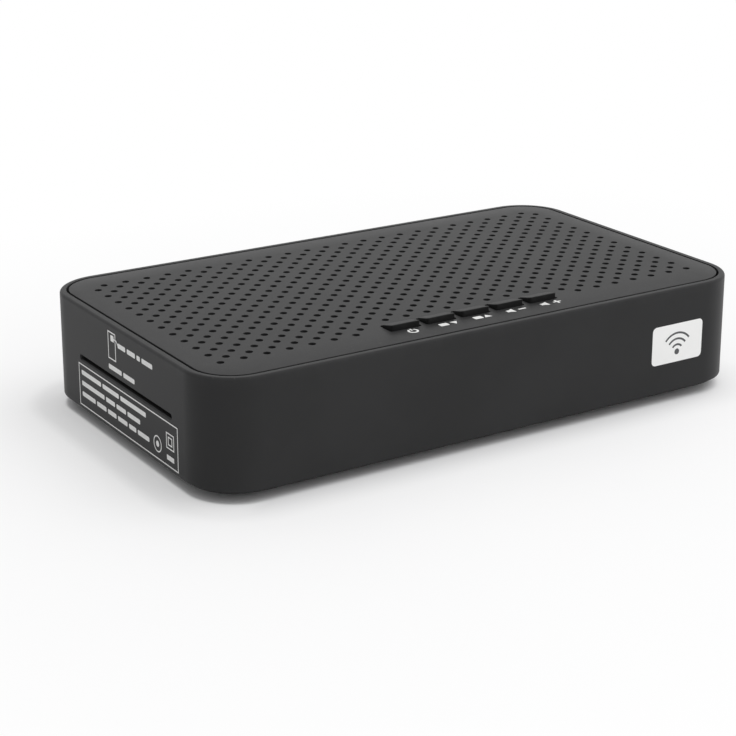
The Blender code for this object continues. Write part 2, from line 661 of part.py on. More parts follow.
def make_base_plate():
    """The bottom: a plate under the walls, a lip inside them, posts for the board and air slots."""
    inset = BASE_INSET - spread(wall_bottom)
    base = plate("base_plate",
                 [rounded_outline(half_width - inset, half_depth - inset, CORNER_RADIUS - inset)],
                 BASE_EDGE, (0.0, 0.0, base_bottom + BASE_EDGE / 2), "case_plastic")

    lip_inset = WALL_THICKNESS + SEAT_GAP
    lip_bottom = base_top - ROOT_SINK
    lip_top = wall_bottom + LIP_HEIGHT
    lip = plate("lip_block",
                [rounded_outline(half_width - lip_inset, half_depth - lip_inset,
                                 RIM_INNER_RADIUS - SEAT_GAP)],
                lip_top - lip_bottom, (0.0, 0.0, (lip_top + lip_bottom) / 2), None)
    combine(base, "UNION", lip)
    room_inset = lip_inset + LIP_THICKNESS
    room_top = lip_top + CUT_OVERRUN
    room = plate("base_room",
                 [rounded_outline(half_width - room_inset, half_depth - room_inset,
                                  RIM_INNER_RADIUS - SEAT_GAP - LIP_THICKNESS)],
                 room_top - floor_top, (0.0, 0.0, (room_top + floor_top) / 2), None)
    combine(base, "DIFFERENCE", room)

    post_low = floor_top - ROOT_SINK
    post_high = board_bottom - SEAT_GAP
    posts = [(BOARD_POST_RADIUS, post_high - post_low, "Z", (x, y, (post_high + post_low) / 2))
             for x, y in board_screw_places.values()]
    combine(base, "UNION", solids("board_posts", posts, (0.0, 0.0, 0.0), None))

    bore_radius = SCREW_SHANK_RADIUS + SEAT_GAP
    bite = SCREW_BITE + SCREW_POINT
    holes = [(bore_radius, bite + CUT_OVERRUN, "Z", (x, y, post_high + (CUT_OVERRUN - bite) / 2))
             for x, y in board_screw_places.values()]
    through = BASE_FLOOR + 2 * CUT_OVERRUN
    floor_middle = base_bottom + BASE_FLOOR / 2
    holes += [(bore_radius, through, "Z", (x, y, floor_middle)) for x, y in post_places.values()]
    holes += [(FOOT_RADIUS + SEAT_GAP, FOOT_SUNK + CUT_OVERRUN, "Z",
               (x, y, base_bottom + (FOOT_SUNK - CUT_OVERRUN) / 2)) for x, y in foot_places.values()]
    for side in (-1, 1):
        for index in range(FLOOR_SLOT_COUNT):
            y = (index - (FLOOR_SLOT_COUNT - 1) / 2) * FLOOR_SLOT_PITCH
            holes.append(((FLOOR_SLOT_LENGTH, FLOOR_SLOT_WIDTH, through),
                          (side * FLOOR_SLOT_ALONG_SHARE * CASE_WIDTH, y, floor_middle)))
    combine(base, "DIFFERENCE", solids("base_holes", holes, (0.0, 0.0, 0.0), None))
    recesses = [(SCREW_HEAD_RADIUS + SEAT_GAP, HEAD_RECESS + CUT_OVERRUN, "Z",
                 (x, y, base_bottom + (HEAD_RECESS - CUT_OVERRUN) / 2)) for x, y in post_places.values()]
    combine(base, "DIFFERENCE", solids("screw_recesses", recesses, (0.0, 0.0, 0.0), None))
    return base


def make_feet():
    top = FOOT_HEIGHT + FOOT_SUNK - SEAT_GAP
    profile = [(0.0, top), (FOOT_RADIUS, top), (FOOT_RADIUS, FOOT_ROUND),
               (FOOT_RADIUS - FOOT_ROUND, 0.0), (0.0, 0.0)]
    for name, (x, y) in foot_places.items():
        turned("foot_" + name, profile, (x, y, 0.0), "rubber")


def make_screw(name, place, bite, upward):
    """A screw whose head seats at its origin. It points down, or up from below the case."""
    profile = [(0.0, SCREW_HEAD_HEIGHT), (SCREW_HEAD_RADIUS * 0.7, SCREW_HEAD_HEIGHT),
               (SCREW_HEAD_RADIUS, SCREW_HEAD_HEIGHT / 2), (SCREW_HEAD_RADIUS, 0.0),
               (SCREW_SHANK_RADIUS, 0.0), (SCREW_SHANK_RADIUS, -bite), (0.0, -bite - SCREW_POINT / 2)]
    screw = turned(name, profile, place, "zinc_screw", SMALL_TURN_STEPS)
    if upward:
        screw.rotation_euler = (math.pi, 0.0, 0.0)
    return screw


def make_screws():
    seat = base_bottom + HEAD_RECESS - SEAT_GAP
    for name, (x, y) in post_places.items():
        make_screw("case_screw_" + name, (x, y, seat), floor_top - seat + SCREW_BITE, True)
    seat = board_top + SEAT_GAP
    for name, (x, y) in board_screw_places.items():
        make_screw("board_screw_" + name, (x, y, seat), seat - board_bottom + SCREW_BITE, False)
    seat = key_board_top + SEAT_GAP
    for name, (x, y) in key_screw_places.items():
        make_screw("key_board_screw_" + name, (x, y, seat),
                   seat - key_board_bottom + BRACKET_SCREW_BITE, False)


# Keys and switches
def make_keys():
    """Five keys on slides: a wedge of a cap, a flange under the panel and a stem to the switch."""
    cap_height = KEY_RISE + PANEL_THICKNESS + SEAT_GAP + KEY_FLANGE_HEIGHT / 2
    cap_top = case_top + KEY_RISE
    cap_shift = cap_height / 2
    flange_size = (KEY_WIDTH + 2 * KEY_FLANGE, KEY_DEPTH + 2 * KEY_FLANGE, KEY_FLANGE_HEIGHT)
    stem_size = (KEY_STEM_WIDTH, KEY_STEM_WIDTH, KEY_STEM_LENGTH + KEY_FLANGE_HEIGHT / 2)
    flange_z = flange_top - KEY_FLANGE_HEIGHT / 2 - cap_top
    stem_z = stem_bottom + stem_size[2] / 2 - cap_top
    first = None
    for name, x in zip(KEY_NAMES, key_places):
        place = (x, keys_y, cap_top)
        if first is None:
            cap = [((KEY_WIDTH, KEY_DEPTH, cap_height), (0.0, 0.0, -cap_shift))]
            first = solids("key_" + name, cap, place, "key_plastic")
            for vertex in first.data.vertices:
                if vertex.co.z > -cap_shift and vertex.co.y > 0.0:
                    vertex.co.z -= KEY_FALL
            soften(first, KEY_ROUND, 2, lambda start, end: max(start.z, end.z) > -cap_shift)
            for part_name, size, z in (("key_flange", flange_size, flange_z),
                                       ("key_stem", stem_size, stem_z)):
                combine(first, "UNION", solids(part_name, [(size, (0.0, 0.0, z))], place, None))
            bpy.context.view_layer.update()
            settle(first)
        else:
            place_object("key_" + name, first.data, place, "key_plastic")


def make_switches():
    """A push switch under each key. Its plunger moves with the key."""
    bore = PLUNGER_SUNK + KEY_TRAVEL + PLUNGER_PLAY
    plunger_height = PLUNGER_RISE + PLUNGER_SUNK
    first_body = None
    for name, x in zip(KEY_NAMES, key_places):
        place = (x, keys_y, switch_bottom)
        if first_body is None:
            block = [((SWITCH_WIDTH, SWITCH_WIDTH, SWITCH_HEIGHT), (0.0, 0.0, SWITCH_HEIGHT / 2))]
            first_body = solids("switch_" + name, block, place, "chip_black")
            hole = (PLUNGER_RADIUS + PLUNGER_PLAY, bore + CUT_OVERRUN, "Z",
                    (0.0, 0.0, SWITCH_HEIGHT + (CUT_OVERRUN - bore) / 2))
            combine(first_body, "DIFFERENCE", solids("plunger_bore", [hole], place, None))
            bpy.context.view_layer.update()
            settle(first_body)
        else:
            place_object("switch_" + name, first_body.data, place, "chip_black")
        rod = [(0.0, 0.0), (PLUNGER_RADIUS, 0.0), (PLUNGER_RADIUS, -plunger_height),
               (0.0, -plunger_height)]
        turned("plunger_" + name, rod, (x, keys_y, plunger_top), "switch_cream", SMALL_TURN_STEPS)


# Boards
def make_boards():
    hole = SCREW_SHANK_RADIUS + SEAT_GAP
    board_y = (board_front + board_rear) / 2
    half_board = (board_rear - board_front) / 2
    outlines = [rounded_outline(board_half_width, half_board, BOARD_CORNER, SMALL_CORNER_STEPS)]
    outlines += [round_outline(hole, SMALL_TURN_STEPS, (x, y - board_y))
                 for x, y in board_screw_places.values()]
    plate("main_board", outlines, BOARD_THICKNESS,
          (0.0, board_y, board_bottom + BOARD_THICKNESS / 2), "board_green")

    half_length = (key_places[-1] - key_places[0]) / 2 + KEY_BOARD_SIDE
    outlines = [rounded_outline(half_length, KEY_BOARD_DEPTH / 2, BOARD_CORNER, SMALL_CORNER_STEPS)]
    outlines += [round_outline(hole, SMALL_TURN_STEPS, (x, y - key_board_y))
                 for x, y in key_screw_places.values()]
    plate("key_board", outlines, BOARD_THICKNESS,
          (0.0, key_board_y, key_board_bottom + BOARD_THICKNESS / 2), "board_green")

    link_bottom = board_top + SEAT_GAP
    link_top = key_board_bottom - SEAT_GAP
    link_y = key_board_y + KEY_BOARD_DEPTH / 2 - LINK_SETBACK
    solids("board_link", [((LINK_WIDTH, LINK_DEPTH, link_top - link_bottom), (0.0, 0.0, 0.0))],
           (0.0, link_y, (link_top + link_bottom) / 2), "chip_black")


# Card reader
def make_card_reader():
    """A frame that is a channel open at the left wall, its contacts and its metal cover."""
    length = reader_right - reader_left
    width = reader_rear - reader_front
    height = channel_roof - reader_bottom
    middle = ((reader_left + reader_right) / 2, -SLOT_FORWARD, reader_bottom)
    frame_box = [((length, width, height), (0.0, 0.0, height / 2))]
    reader = solids("reader_frame", frame_box, middle, "socket_plastic")
    channel = [((READER_REACH + CUT_OVERRUN, SLOT_LENGTH, SLOT_HEIGHT + CUT_OVERRUN),
                ((READER_REACH - CUT_OVERRUN - length) / 2, 0.0,
                 READER_FLOOR + (SLOT_HEIGHT + CUT_OVERRUN) / 2))]
    combine(reader, "DIFFERENCE", solids("card_channel", channel, middle, None))
    contact_x = length / 2 - READER_STOP - CONTACT_INSET
    window = [((CONTACT_LENGTH + 2 * SEAT_GAP, CONTACT_WIDTH + 2 * SEAT_GAP,
                READER_FLOOR + 2 * CUT_OVERRUN), (contact_x, 0.0, READER_FLOOR / 2))]
    combine(reader, "DIFFERENCE", solids("contact_window", window, middle, None))

    contact_place = (middle[0] + contact_x, middle[1], reader_bottom + READER_FLOOR / 2)
    solids("reader_contacts", [((CONTACT_LENGTH, CONTACT_WIDTH, READER_FLOOR), (0.0, 0.0, 0.0))],
           contact_place, "contact_gold")
    cover_z = channel_roof + SEAT_GAP + READER_COVER / 2
    solids("reader_cover", [((length, width, READER_COVER), (0.0, 0.0, 0.0))],
           (middle[0], middle[1], cover_z), "tin_plate")


# Rear sockets
def face_rear(item):
    """Turn a piece so that its +Z runs out of the rear wall."""
    item.rotation_euler = (-math.pi / 2, 0.0, 0.0)
    return item


def make_antenna_socket():
    x = socket_x["antenna"]
    flange_front = rear_inside(antenna_height) - SEAT_GAP - ANTENNA_FLANGE
    mouth = rear_outside(antenna_height) + ANTENNA_PROUD - flange_front
    bore_bottom = mouth - ANTENNA_BORE_DEPTH
    place = (x, flange_front, antenna_height)
    barrel = [(0.0, bore_bottom), (ANTENNA_BORE, bore_bottom), (ANTENNA_BORE, mouth),
              (ANTENNA_RADIUS, mouth), (ANTENNA_RADIUS, ANTENNA_FLANGE),
              (ANTENNA_FLANGE_RADIUS, ANTENNA_FLANGE), (ANTENNA_FLANGE_RADIUS, 0.0), (0.0, 0.0)]
    face_rear(turned("antenna_socket", barrel, place, "nickel"))
    core_radius = ANTENNA_BORE - SEAT_GAP
    core_bottom = bore_bottom + SEAT_GAP
    core = [(0.0, mouth - ANTENNA_PIN_DEPTH), (ANTENNA_PIN_HOLE, mouth - ANTENNA_PIN_DEPTH),
            (ANTENNA_PIN_HOLE, mouth - SEAT_GAP), (core_radius, mouth - SEAT_GAP),
            (core_radius, core_bottom), (0.0, core_bottom)]
    face_rear(turned("antenna_insulator", core, place, "insulator_white"))

    inner = ANTENNA_RADIUS + SEAT_GAP
    washer_y = rear_outside(antenna_height - WASHER_RADIUS) + SEAT_GAP + WASHER_THICKNESS / 2
    face_rear(plate("antenna_washer", [round_outline(WASHER_RADIUS), round_outline(inner)],
                    WASHER_THICKNESS, (x, washer_y, antenna_height), "nickel"))
    nut_y = washer_y + WASHER_THICKNESS / 2 + SEAT_GAP + NUT_THICKNESS / 2
    face_rear(plate("antenna_nut", [round_outline(NUT_RADIUS, 6), round_outline(inner)],
                    NUT_THICKNESS, (x, nut_y, antenna_height), "nickel"))

    tuner_y = flange_front - SEAT_GAP - TUNER_DEPTH / 2
    tuner_z = board_top + SEAT_GAP + TUNER_HEIGHT / 2
    tuner = solids("tuner_can", [((TUNER_WIDTH, TUNER_DEPTH, TUNER_HEIGHT), (0.0, 0.0, 0.0))],
                   (x, tuner_y, tuner_z), "tin_plate")
    soften(tuner, TUNER_ROUND)


def make_audio_socket():
    """A round audio socket: a block inside the wall, a nose with a hole and a metal sleeve."""
    x = socket_x["audio"]
    front = rear_inside(audio_height - AUDIO_SIZE / 2) - SEAT_GAP
    mouth = rear_outside(audio_height) + AUDIO_NOSE_PROUD
    place = (x, front, audio_height)
    block = solids("audio_socket", [((AUDIO_SIZE, AUDIO_DEPTH, AUDIO_SIZE),
                                     (0.0, -AUDIO_DEPTH / 2 - spread(board_top), 0.0))],
                   place, "socket_plastic")
    reach = mouth - front
    root = ROOT_SINK + spread(board_top)
    nose = solids("audio_nose", [(AUDIO_NOSE_RADIUS, reach + root, "Y", (0.0, (reach - root) / 2, 0.0))],
                  place, None)
    combine(block, "UNION", nose)
    hole = solids("audio_hole", [(AUDIO_HOLE_RADIUS, AUDIO_HOLE_DEPTH + CUT_OVERRUN, "Y",
                                  (0.0, reach + (CUT_OVERRUN - AUDIO_HOLE_DEPTH) / 2, 0.0))],
                  place, None)
    combine(block, "DIFFERENCE", hole)
    sleeve_length = reach - SEAT_GAP
    sleeve = plate("audio_sleeve", [round_outline(sleeve_outer), round_outline(sleeve_inner)],
                   sleeve_length, (x, front + SEAT_GAP + sleeve_length / 2, audio_height), "nickel")
    face_rear(sleeve)


def make_av_jack():
    """A small round jack for sound and picture."""
    front = rear_inside(av_height - AV_HEIGHT / 2) - SEAT_GAP - spread(board_top)
    mouth = rear_outside(av_height) + SOCKET_PROUD
    place = (socket_x["av"], front, av_height)
    block = solids("av_jack", [((AV_WIDTH, AV_DEPTH, AV_HEIGHT), (0.0, -AV_DEPTH / 2, 0.0))],
                   place, "socket_plastic")
    reach = mouth - front
    nose = (AV_NOSE_RADIUS, reach + ROOT_SINK, "Y", (0.0, (reach - ROOT_SINK) / 2, 0.0))
    combine(block, "UNION", solids("av_nose", [nose], place, None))
    bore = (AV_BORE_RADIUS, AV_BORE_DEPTH + CUT_OVERRUN, "Y",
            (0.0, reach + (CUT_OVERRUN - AV_BORE_DEPTH) / 2, 0.0))
    combine(block, "DIFFERENCE", solids("av_bore", [bore], place, None))


def make_shell_socket(name, x, height, size, tongue, tongue_rise):
    """A metal shell that is open at the rear, with a flat tongue inside."""
    width, rise, depth = size
    mouth = rear_outside(height) + SOCKET_PROUD
    place = (x, mouth, height)
    shell = solids(name, [((width, depth, rise), (0.0, -depth / 2, 0.0))], place, "tin_plate")
    hollow_depth = depth - SOCKET_BACK
    hollow = ((width - 2 * SOCKET_SHELL, hollow_depth + CUT_OVERRUN, rise - 2 * SOCKET_SHELL),
              (0.0, (CUT_OVERRUN - hollow_depth) / 2, 0.0))
    combine(shell, "DIFFERENCE", solids(name + "_hollow", [hollow], place, None))
    tongue_length = hollow_depth - TONGUE_SHORT + ROOT_SINK
    tongue_y = tongue_length / 2 - hollow_depth - ROOT_SINK
    board = ((tongue[0], tongue_length, tongue[1]), (0.0, tongue_y, tongue_rise))
    combine(shell, "UNION", solids(name + "_tongue", [board], place, None))


def make_power_jack():
    """The low-voltage jack, with its centre pin as a piece of its own."""
    x = socket_x["power"]
    mouth = rear_outside(power_height) + SOCKET_PROUD
    place = (x, mouth, power_height)
    jack = solids("power_jack", [((POWER_WIDTH, POWER_DEPTH, POWER_HEIGHT), (0.0, -POWER_DEPTH / 2, 0.0))],
                  place, "socket_plastic")
    bore = (POWER_BORE_RADIUS, POWER_BORE_DEPTH + CUT_OVERRUN, "Y",
            (0.0, (CUT_OVERRUN - POWER_BORE_DEPTH) / 2, 0.0))
    combine(jack, "DIFFERENCE", solids("power_bore", [bore], place, None))
    pin_hole_depth = POWER_BORE_DEPTH + POWER_PIN_SUNK
    pin_hole = (POWER_PIN_RADIUS + SEAT_GAP, pin_hole_depth, "Y", (0.0, -pin_hole_depth / 2, 0.0))
    combine(jack, "DIFFERENCE", solids("power_pin_hole", [pin_hole], place, None))
    pin_length = pin_hole_depth - SEAT_GAP - POWER_PIN_SHORT
    pin = [(0.0, 0.0), (POWER_PIN_RADIUS, 0.0), (POWER_PIN_RADIUS, -pin_length), (0.0, -pin_length)]
    face_rear(turned("power_pin", pin, (x, mouth - POWER_PIN_SHORT, power_height), "nickel",
                     SMALL_TURN_STEPS))


# Parts on the main board
def board_place(along_share, across_share, rise=0.0):
    room = board_half_width - reader_right
    return (reader_right + along_share * room, across_share * CASE_DEPTH, board_top + SEAT_GAP + rise)


def make_heat_sink():
    """A comb of fins on the processor, cut from one outline."""
    pitch = SINK_SIZE / (SINK_FINS - 1 + SINK_FIN_SHARE)
    fin = pitch * SINK_FIN_SHARE
    outline = [(SINK_SIZE / 2, 0.0)]
    for index in range(SINK_FINS):
        right = SINK_SIZE / 2 - index * pitch
        outline += [(right, SINK_BASE + SINK_FIN_HEIGHT), (right - fin, SINK_BASE + SINK_FIN_HEIGHT)]
        if index < SINK_FINS - 1:
            outline += [(right - fin, SINK_BASE), (right - pitch, SINK_BASE)]
    outline.append((-SINK_SIZE / 2, 0.0))
    place = board_place(PROCESSOR_ALONG_SHARE, PROCESSOR_ACROSS_SHARE, PROCESSOR_HEIGHT + SEAT_GAP)
    sink = plate("heat_sink", [outline], SINK_SIZE, place, "sink_aluminium")
    sink.rotation_euler = (math.pi / 2, 0.0, 0.0)


def make_board_parts():
    processor = solids("processor", [((PROCESSOR_SIZE, PROCESSOR_SIZE, PROCESSOR_HEIGHT),
                                      (0.0, 0.0, PROCESSOR_HEIGHT / 2))],
                       board_place(PROCESSOR_ALONG_SHARE, PROCESSOR_ACROSS_SHARE), "chip_black")
    soften(processor, CHIP_ROUND)
    memory = solids("memory_chip", [((MEMORY_LENGTH, MEMORY_WIDTH, MEMORY_HEIGHT),
                                     (0.0, 0.0, MEMORY_HEIGHT / 2))],
                    board_place(MEMORY_ALONG_SHARE, MEMORY_ACROSS_SHARE), "chip_black")
    soften(memory, CHIP_ROUND)
    can = [(0.0, CAPACITOR_HEIGHT), (CAPACITOR_RADIUS - CAPACITOR_ROUND, CAPACITOR_HEIGHT),
           (CAPACITOR_RADIUS, CAPACITOR_HEIGHT - CAPACITOR_ROUND), (CAPACITOR_RADIUS, 0.0), (0.0, 0.0)]
    for index, shares in enumerate(CAPACITOR_PLACE_SHARES, start=1):
        turned(f"capacitor_{index}", can, board_place(*shares), "tin_plate")
    inductor = solids("inductor", [((INDUCTOR_SIZE, INDUCTOR_SIZE, INDUCTOR_HEIGHT),
                                    (0.0, 0.0, INDUCTOR_HEIGHT / 2))],
                      board_place(INDUCTOR_ALONG_SHARE, INDUCTOR_ACROSS_SHARE), "chip_black")
    soften(inductor, INDUCTOR_ROUND)
    crystal = solids("crystal", [((CRYSTAL_LENGTH, CRYSTAL_WIDTH, CRYSTAL_HEIGHT),
                                  (0.0, 0.0, CRYSTAL_HEIGHT / 2))],
                     board_place(CRYSTAL_ALONG_SHARE, CRYSTAL_ACROSS_SHARE), "tin_plate")
    soften(crystal, CHIP_ROUND)


def make_front_parts():
    """The infra-red eye and the standby lamp look forward from the board's front edge."""
    eye_lens_y = EYE_LENS_REACH + EYE_DEPTH / 2
    place = (EYE_ALONG_SHARE * CASE_WIDTH, board_front + EYE_DEPTH / 2 + EYE_LENS_REACH,
             board_top + SEAT_GAP + EYE_HEIGHT / 2)
    eye = solids("infrared_eye", [((EYE_WIDTH, EYE_DEPTH, EYE_HEIGHT), (0.0, 0.0, 0.0))],
                 place, "chip_black")
    lens_length = EYE_LENS_REACH + ROOT_SINK
    lens = (EYE_LENS_RADIUS, lens_length, "Y", (0.0, lens_length / 2 - eye_lens_y, 0.0))
    combine(eye, "UNION", solids("eye_lens", [lens], place, None))

    block_half = LAMP_BLOCK_DEPTH / 2
    place = (LAMP_ALONG_SHARE * CASE_WIDTH, board_front + block_half + LAMP_LENGTH,
             board_top + SEAT_GAP + LAMP_BLOCK_HEIGHT / 2)
    lamp = solids("standby_lamp", [((LAMP_BLOCK_WIDTH, LAMP_BLOCK_DEPTH, LAMP_BLOCK_HEIGHT),
                                    (0.0, 0.0, 0.0))], place, "lamp_red")
    bulb_length = LAMP_LENGTH + ROOT_SINK
    bulb = (LAMP_RADIUS, bulb_length, "Y", (0.0, ROOT_SINK - block_half - bulb_length / 2, 0.0))
    combine(lamp, "UNION", solids("lamp_bulb", [bulb], place, None))
    rim_length = LAMP_RIM_LENGTH + ROOT_SINK
    rim = (LAMP_RADIUS + LAMP_RIM, rim_length, "Y", (0.0, ROOT_SINK - block_half - rim_length / 2, 0.0))
    combine(lamp, "UNION", solids("lamp_rim", [rim], place, None))


make_housing()
make_top_panel()
make_base_plate()
make_feet()
make_screws()
make_keys()
make_switches()
make_boards()
make_card_reader()
make_antenna_socket()
make_audio_socket()
make_av_jack()
make_shell_socket("hdmi_socket", socket_x["hdmi"], hdmi_height, (HDMI_WIDTH, HDMI_HEIGHT, HDMI_DEPTH),
                  (HDMI_TONGUE_WIDTH, HDMI_TONGUE_HEIGHT), 0.0)
make_shell_socket("usb_socket", socket_x["usb"], usb_height, (USB_WIDTH, USB_HEIGHT, USB_DEPTH),
                  (USB_TONGUE_WIDTH, USB_TONGUE_HEIGHT), USB_TONGUE_HEIGHT / 2)
make_power_jack()
make_heat_sink()
make_board_parts()
make_front_parts()
bpy.context.view_layer.update()
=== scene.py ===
import math

import bpy
import numpy as np
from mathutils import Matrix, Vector
from mathutils.geometry import delaunay_2d_cdt


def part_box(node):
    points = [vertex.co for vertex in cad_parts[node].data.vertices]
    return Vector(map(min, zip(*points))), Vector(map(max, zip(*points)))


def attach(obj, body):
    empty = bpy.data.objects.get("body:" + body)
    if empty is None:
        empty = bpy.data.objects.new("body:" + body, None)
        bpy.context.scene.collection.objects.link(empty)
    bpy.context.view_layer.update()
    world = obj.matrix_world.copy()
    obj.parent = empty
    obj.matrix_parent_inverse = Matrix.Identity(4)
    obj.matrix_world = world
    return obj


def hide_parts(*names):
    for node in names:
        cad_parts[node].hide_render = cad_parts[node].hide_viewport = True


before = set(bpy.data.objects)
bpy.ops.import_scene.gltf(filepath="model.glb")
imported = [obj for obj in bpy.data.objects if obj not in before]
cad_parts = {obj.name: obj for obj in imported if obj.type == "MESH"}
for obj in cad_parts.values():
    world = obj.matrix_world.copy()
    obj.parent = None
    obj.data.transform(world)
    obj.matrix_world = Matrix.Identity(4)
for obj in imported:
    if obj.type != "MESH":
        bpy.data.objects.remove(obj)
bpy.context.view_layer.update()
lidLow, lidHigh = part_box("top_panel")
middleY = (lidLow.y + lidHigh.y) / 2
topZ = lidHigh.z
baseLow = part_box("base_plate")[0].z
print("frame:", len(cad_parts), "nodes")

# Camera: on a sphere round its aim, with +Z upwards in the picture
viewpoint = {"aim": (-0.01202, -0.00775, 0.00988), "azimuth": -32.4704, "elevation": 19.5938,
             "distance": 0.55671, "lens": 92.23, "nearest": 0.01}


def placeCamera():
    turn, rise = math.radians(viewpoint["azimuth"]), math.radians(viewpoint["elevation"])
    back = Vector((math.sin(turn) * math.cos(rise), -math.cos(turn) * math.cos(rise), math.sin(rise)))
    lens = bpy.data.cameras.new("camera")
    lens.lens, lens.clip_start = viewpoint["lens"], viewpoint["nearest"]
    camera = bpy.data.objects.new("camera", lens)
    camera.location = Vector(viewpoint["aim"]) + back * viewpoint["distance"]
    camera.rotation_euler = back.to_track_quat("Z", "Y").to_euler()
    bpy.context.scene.collection.objects.link(camera)
    bpy.context.scene.camera = camera


placeCamera()
print("camera placed")


# Shapes. A ring is a row of points, counterclockwise seen from its outward end, and a
# shape is its points with its faces as lists of indices.

# Rounded rectangles, one for each half size and radius: a corner's centre plus the radius
# times (cosine, sine) over a quarter turn, and three points along each side.
def roundedRings(halfX, halfY, radius, steps=6):
    given = [np.atleast_1d(np.asarray(value, float)) for value in (halfX, halfY, radius)]
    halfX, halfY, radius = (values[:, None, None] for values in np.broadcast_arrays(*given))
    angle = (np.arange(4)[:, None] + np.linspace(0.0, 1.0, steps + 1)) * math.pi / 2
    signX, signY = np.array([1, -1, -1, 1.0])[:, None], np.array([1, 1, -1, -1.0])[:, None]
    arcs = np.stack([signX * (halfX - radius) + radius * np.cos(angle),
                     signY * (halfY - radius) + radius * np.sin(angle)], axis=-1)
    start, end = arcs[:, :, -1:], np.roll(arcs[:, :, :1], -1, axis=1)
    sides = start + (end - start) * np.array([0.03, 0.5, 0.97])[:, None]
    return np.concatenate([arcs, sides], axis=2).reshape(len(radius), -1, 2)


# Points on a circle of radius one: (cosine, sine)
def directions(angle):
    return np.stack([np.cos(angle), np.sin(angle)], axis=-1)


# Circles, one for each radius, or rings with a radius for each angle where these are given
def circleRings(radius, sides):
    radius = np.atleast_1d(radius)
    radius = radius[:, None] if radius.ndim == 1 else radius
    return radius[:, :, None] * directions(np.arange(sides) * 2 * math.pi / sides)


# Outlines in plan set at heights
def stack(outlines, heights):
    heights = np.broadcast_to(np.asarray(heights, float)[:, None, None], outlines.shape[:2] + (1,))
    return np.concatenate([outlines, heights], axis=2)


# Part of a circle in a profile: its centre plus the radius times (cosine, sine)
def arc(across, height, radius, start, stop, steps=4):
    return [across, height] + radius * directions(np.radians(np.linspace(start, stop, steps + 1)))


# Signed volume: a sixth of the triple products over each face's fan
def volume(points, faces):
    total = 0.0
    for size in {len(face) for face in faces}:
        corners = points[np.array([face for face in faces if len(face) == size])]
        first = np.broadcast_to(corners[:, :1], corners[:, 2:].shape)
        total += np.einsum("ijk,ijk->", first, np.cross(corners[:, 1:-1], corners[:, 2:])) / 6
    return total


# A closed surface through rings: quads between neighbours, then a cap on either end,
# or, for a loop, quads back to the first ring. Turned inside out if its volume is negative.
def shell(rings, loop=False):
    count, sides = rings.shape[:2]
    index = np.arange(count * sides).reshape(count, sides)
    rows = np.vstack([index, index[:1]]) if loop else index
    low, high = rows[:-1], rows[1:]
    quads = np.stack([low, np.roll(low, -1, 1), np.roll(high, -1, 1), high], axis=2)
    faces = quads.reshape(-1, 4).tolist()
    if not loop:
        faces += [index[0, ::-1].tolist(), index[-1].tolist()]
    points = rings.reshape(-1, 3)
    if volume(points, faces) < 0:
        faces = [face[::-1] for face in faces]
    return points, faces


# A profile of (radius, height) turned about Z
def turned(profile, sides=32, loop=False):
    radius, height = np.asarray(profile, float).T
    return shell(stack(circleRings(radius, sides), height), loop)


# A block that stands on z = 0, its upright edges and its rims rounded off
def block(size, corner, rim, steps=4):
    wide, deep, high = size
    profile = [*arc(rim, rim, rim, 270, 180, steps), *arc(rim, high - rim, rim, 180, 90, steps)]
    inset, height = np.array(profile).T
    radius = np.maximum(corner - inset, rim / 20)
    return shell(stack(roundedRings(wide / 2 - inset, deep / 2 - inset, radius, steps), height))


# Shapes as one: the indices of each are raised by the count of the points before it
def gather(*shapes):
    points, faces, shift = [], [], 0
    for shapePoints, shapeFaces in shapes:
        points.append(shapePoints)
        faces += [[corner + shift for corner in face] for face in shapeFaces]
        shift += len(shapePoints)
    return np.vstack(points), faces


def moved(shape, x, y, z=0.0):
    return shape[0] + np.array([x, y, z]), shape[1]


# Local +Z turned to the rear, +Y, and set at a place
def toRear(shape, place):
    points = shape[0]
    return np.column_stack([points[:, 0], points[:, 2], -points[:, 1]]) + np.asarray(place, float), shape[1]


# Triangles between the first outline and the others, which are holes. Each comes as
# (points, indices in the shape), and the triangles that run clockwise are turned round.
def fill(outlines):
    scaled = np.vstack([points[:, :2] for points, _ in outlines]) * 1000    # in millimetres
    index = np.concatenate([names for _, names in outlines])
    starts = np.cumsum([0] + [len(points) for points, _ in outlines])
    loops = [list(range(start, end)) for start, end in zip(starts[:-1], starts[1:])]
    found = delaunay_2d_cdt([Vector(p) for p in scaled.tolist()], [], loops, 2, 1e-6)
    triangles = np.array(found[2])
    a, b, c = (scaled[triangles[:, k]] for k in range(3))
    clockwise = (b - a)[:, 0] * (c - a)[:, 1] - (b - a)[:, 1] * (c - a)[:, 0] < 0
    triangles[clockwise] = triangles[clockwise][:, ::-1]
    return index[triangles]


# A plate with holes. Each group is an array of (copies, rings, sides, 3) whose rings run
# from the upper face to the lower one; the first group is the outer edge. A group that
# is blind starts at the end of its pit, which opens downwards.
def plate(groups, blind=()):
    points, faces, upper, lower, shift = [], [], [], [], 0
    for order, group in enumerate(groups):
        index = shift + np.arange(group.size // 3).reshape(group.shape[:3])
        here, below = index[:, :-1], index[:, 1:]
        nextHere, nextBelow = np.roll(here, -1, 2), np.roll(below, -1, 2)
        around = [below, nextBelow, nextHere, here] if order == 0 else [here, nextHere, nextBelow, below]
        faces += np.stack(around, axis=3).reshape(-1, 4).tolist()
        if order in blind:
            faces += index[:, 0, ::-1].tolist()
        else:
            upper += list(zip(group[:, 0], index[:, 0]))
        lower += list(zip(group[:, -1], index[:, -1]))
        points.append(group.reshape(-1, 3))
        shift += index.size
    faces += fill(upper).tolist() + fill(lower)[:, ::-1].tolist()
    return np.vstack(points), faces


# Copies of one chain of rings at places in plan
def copies(rings, places):
    shift = np.column_stack([np.asarray(places, float), np.zeros(len(places))])
    return rings[None] + shift[:, None, None]


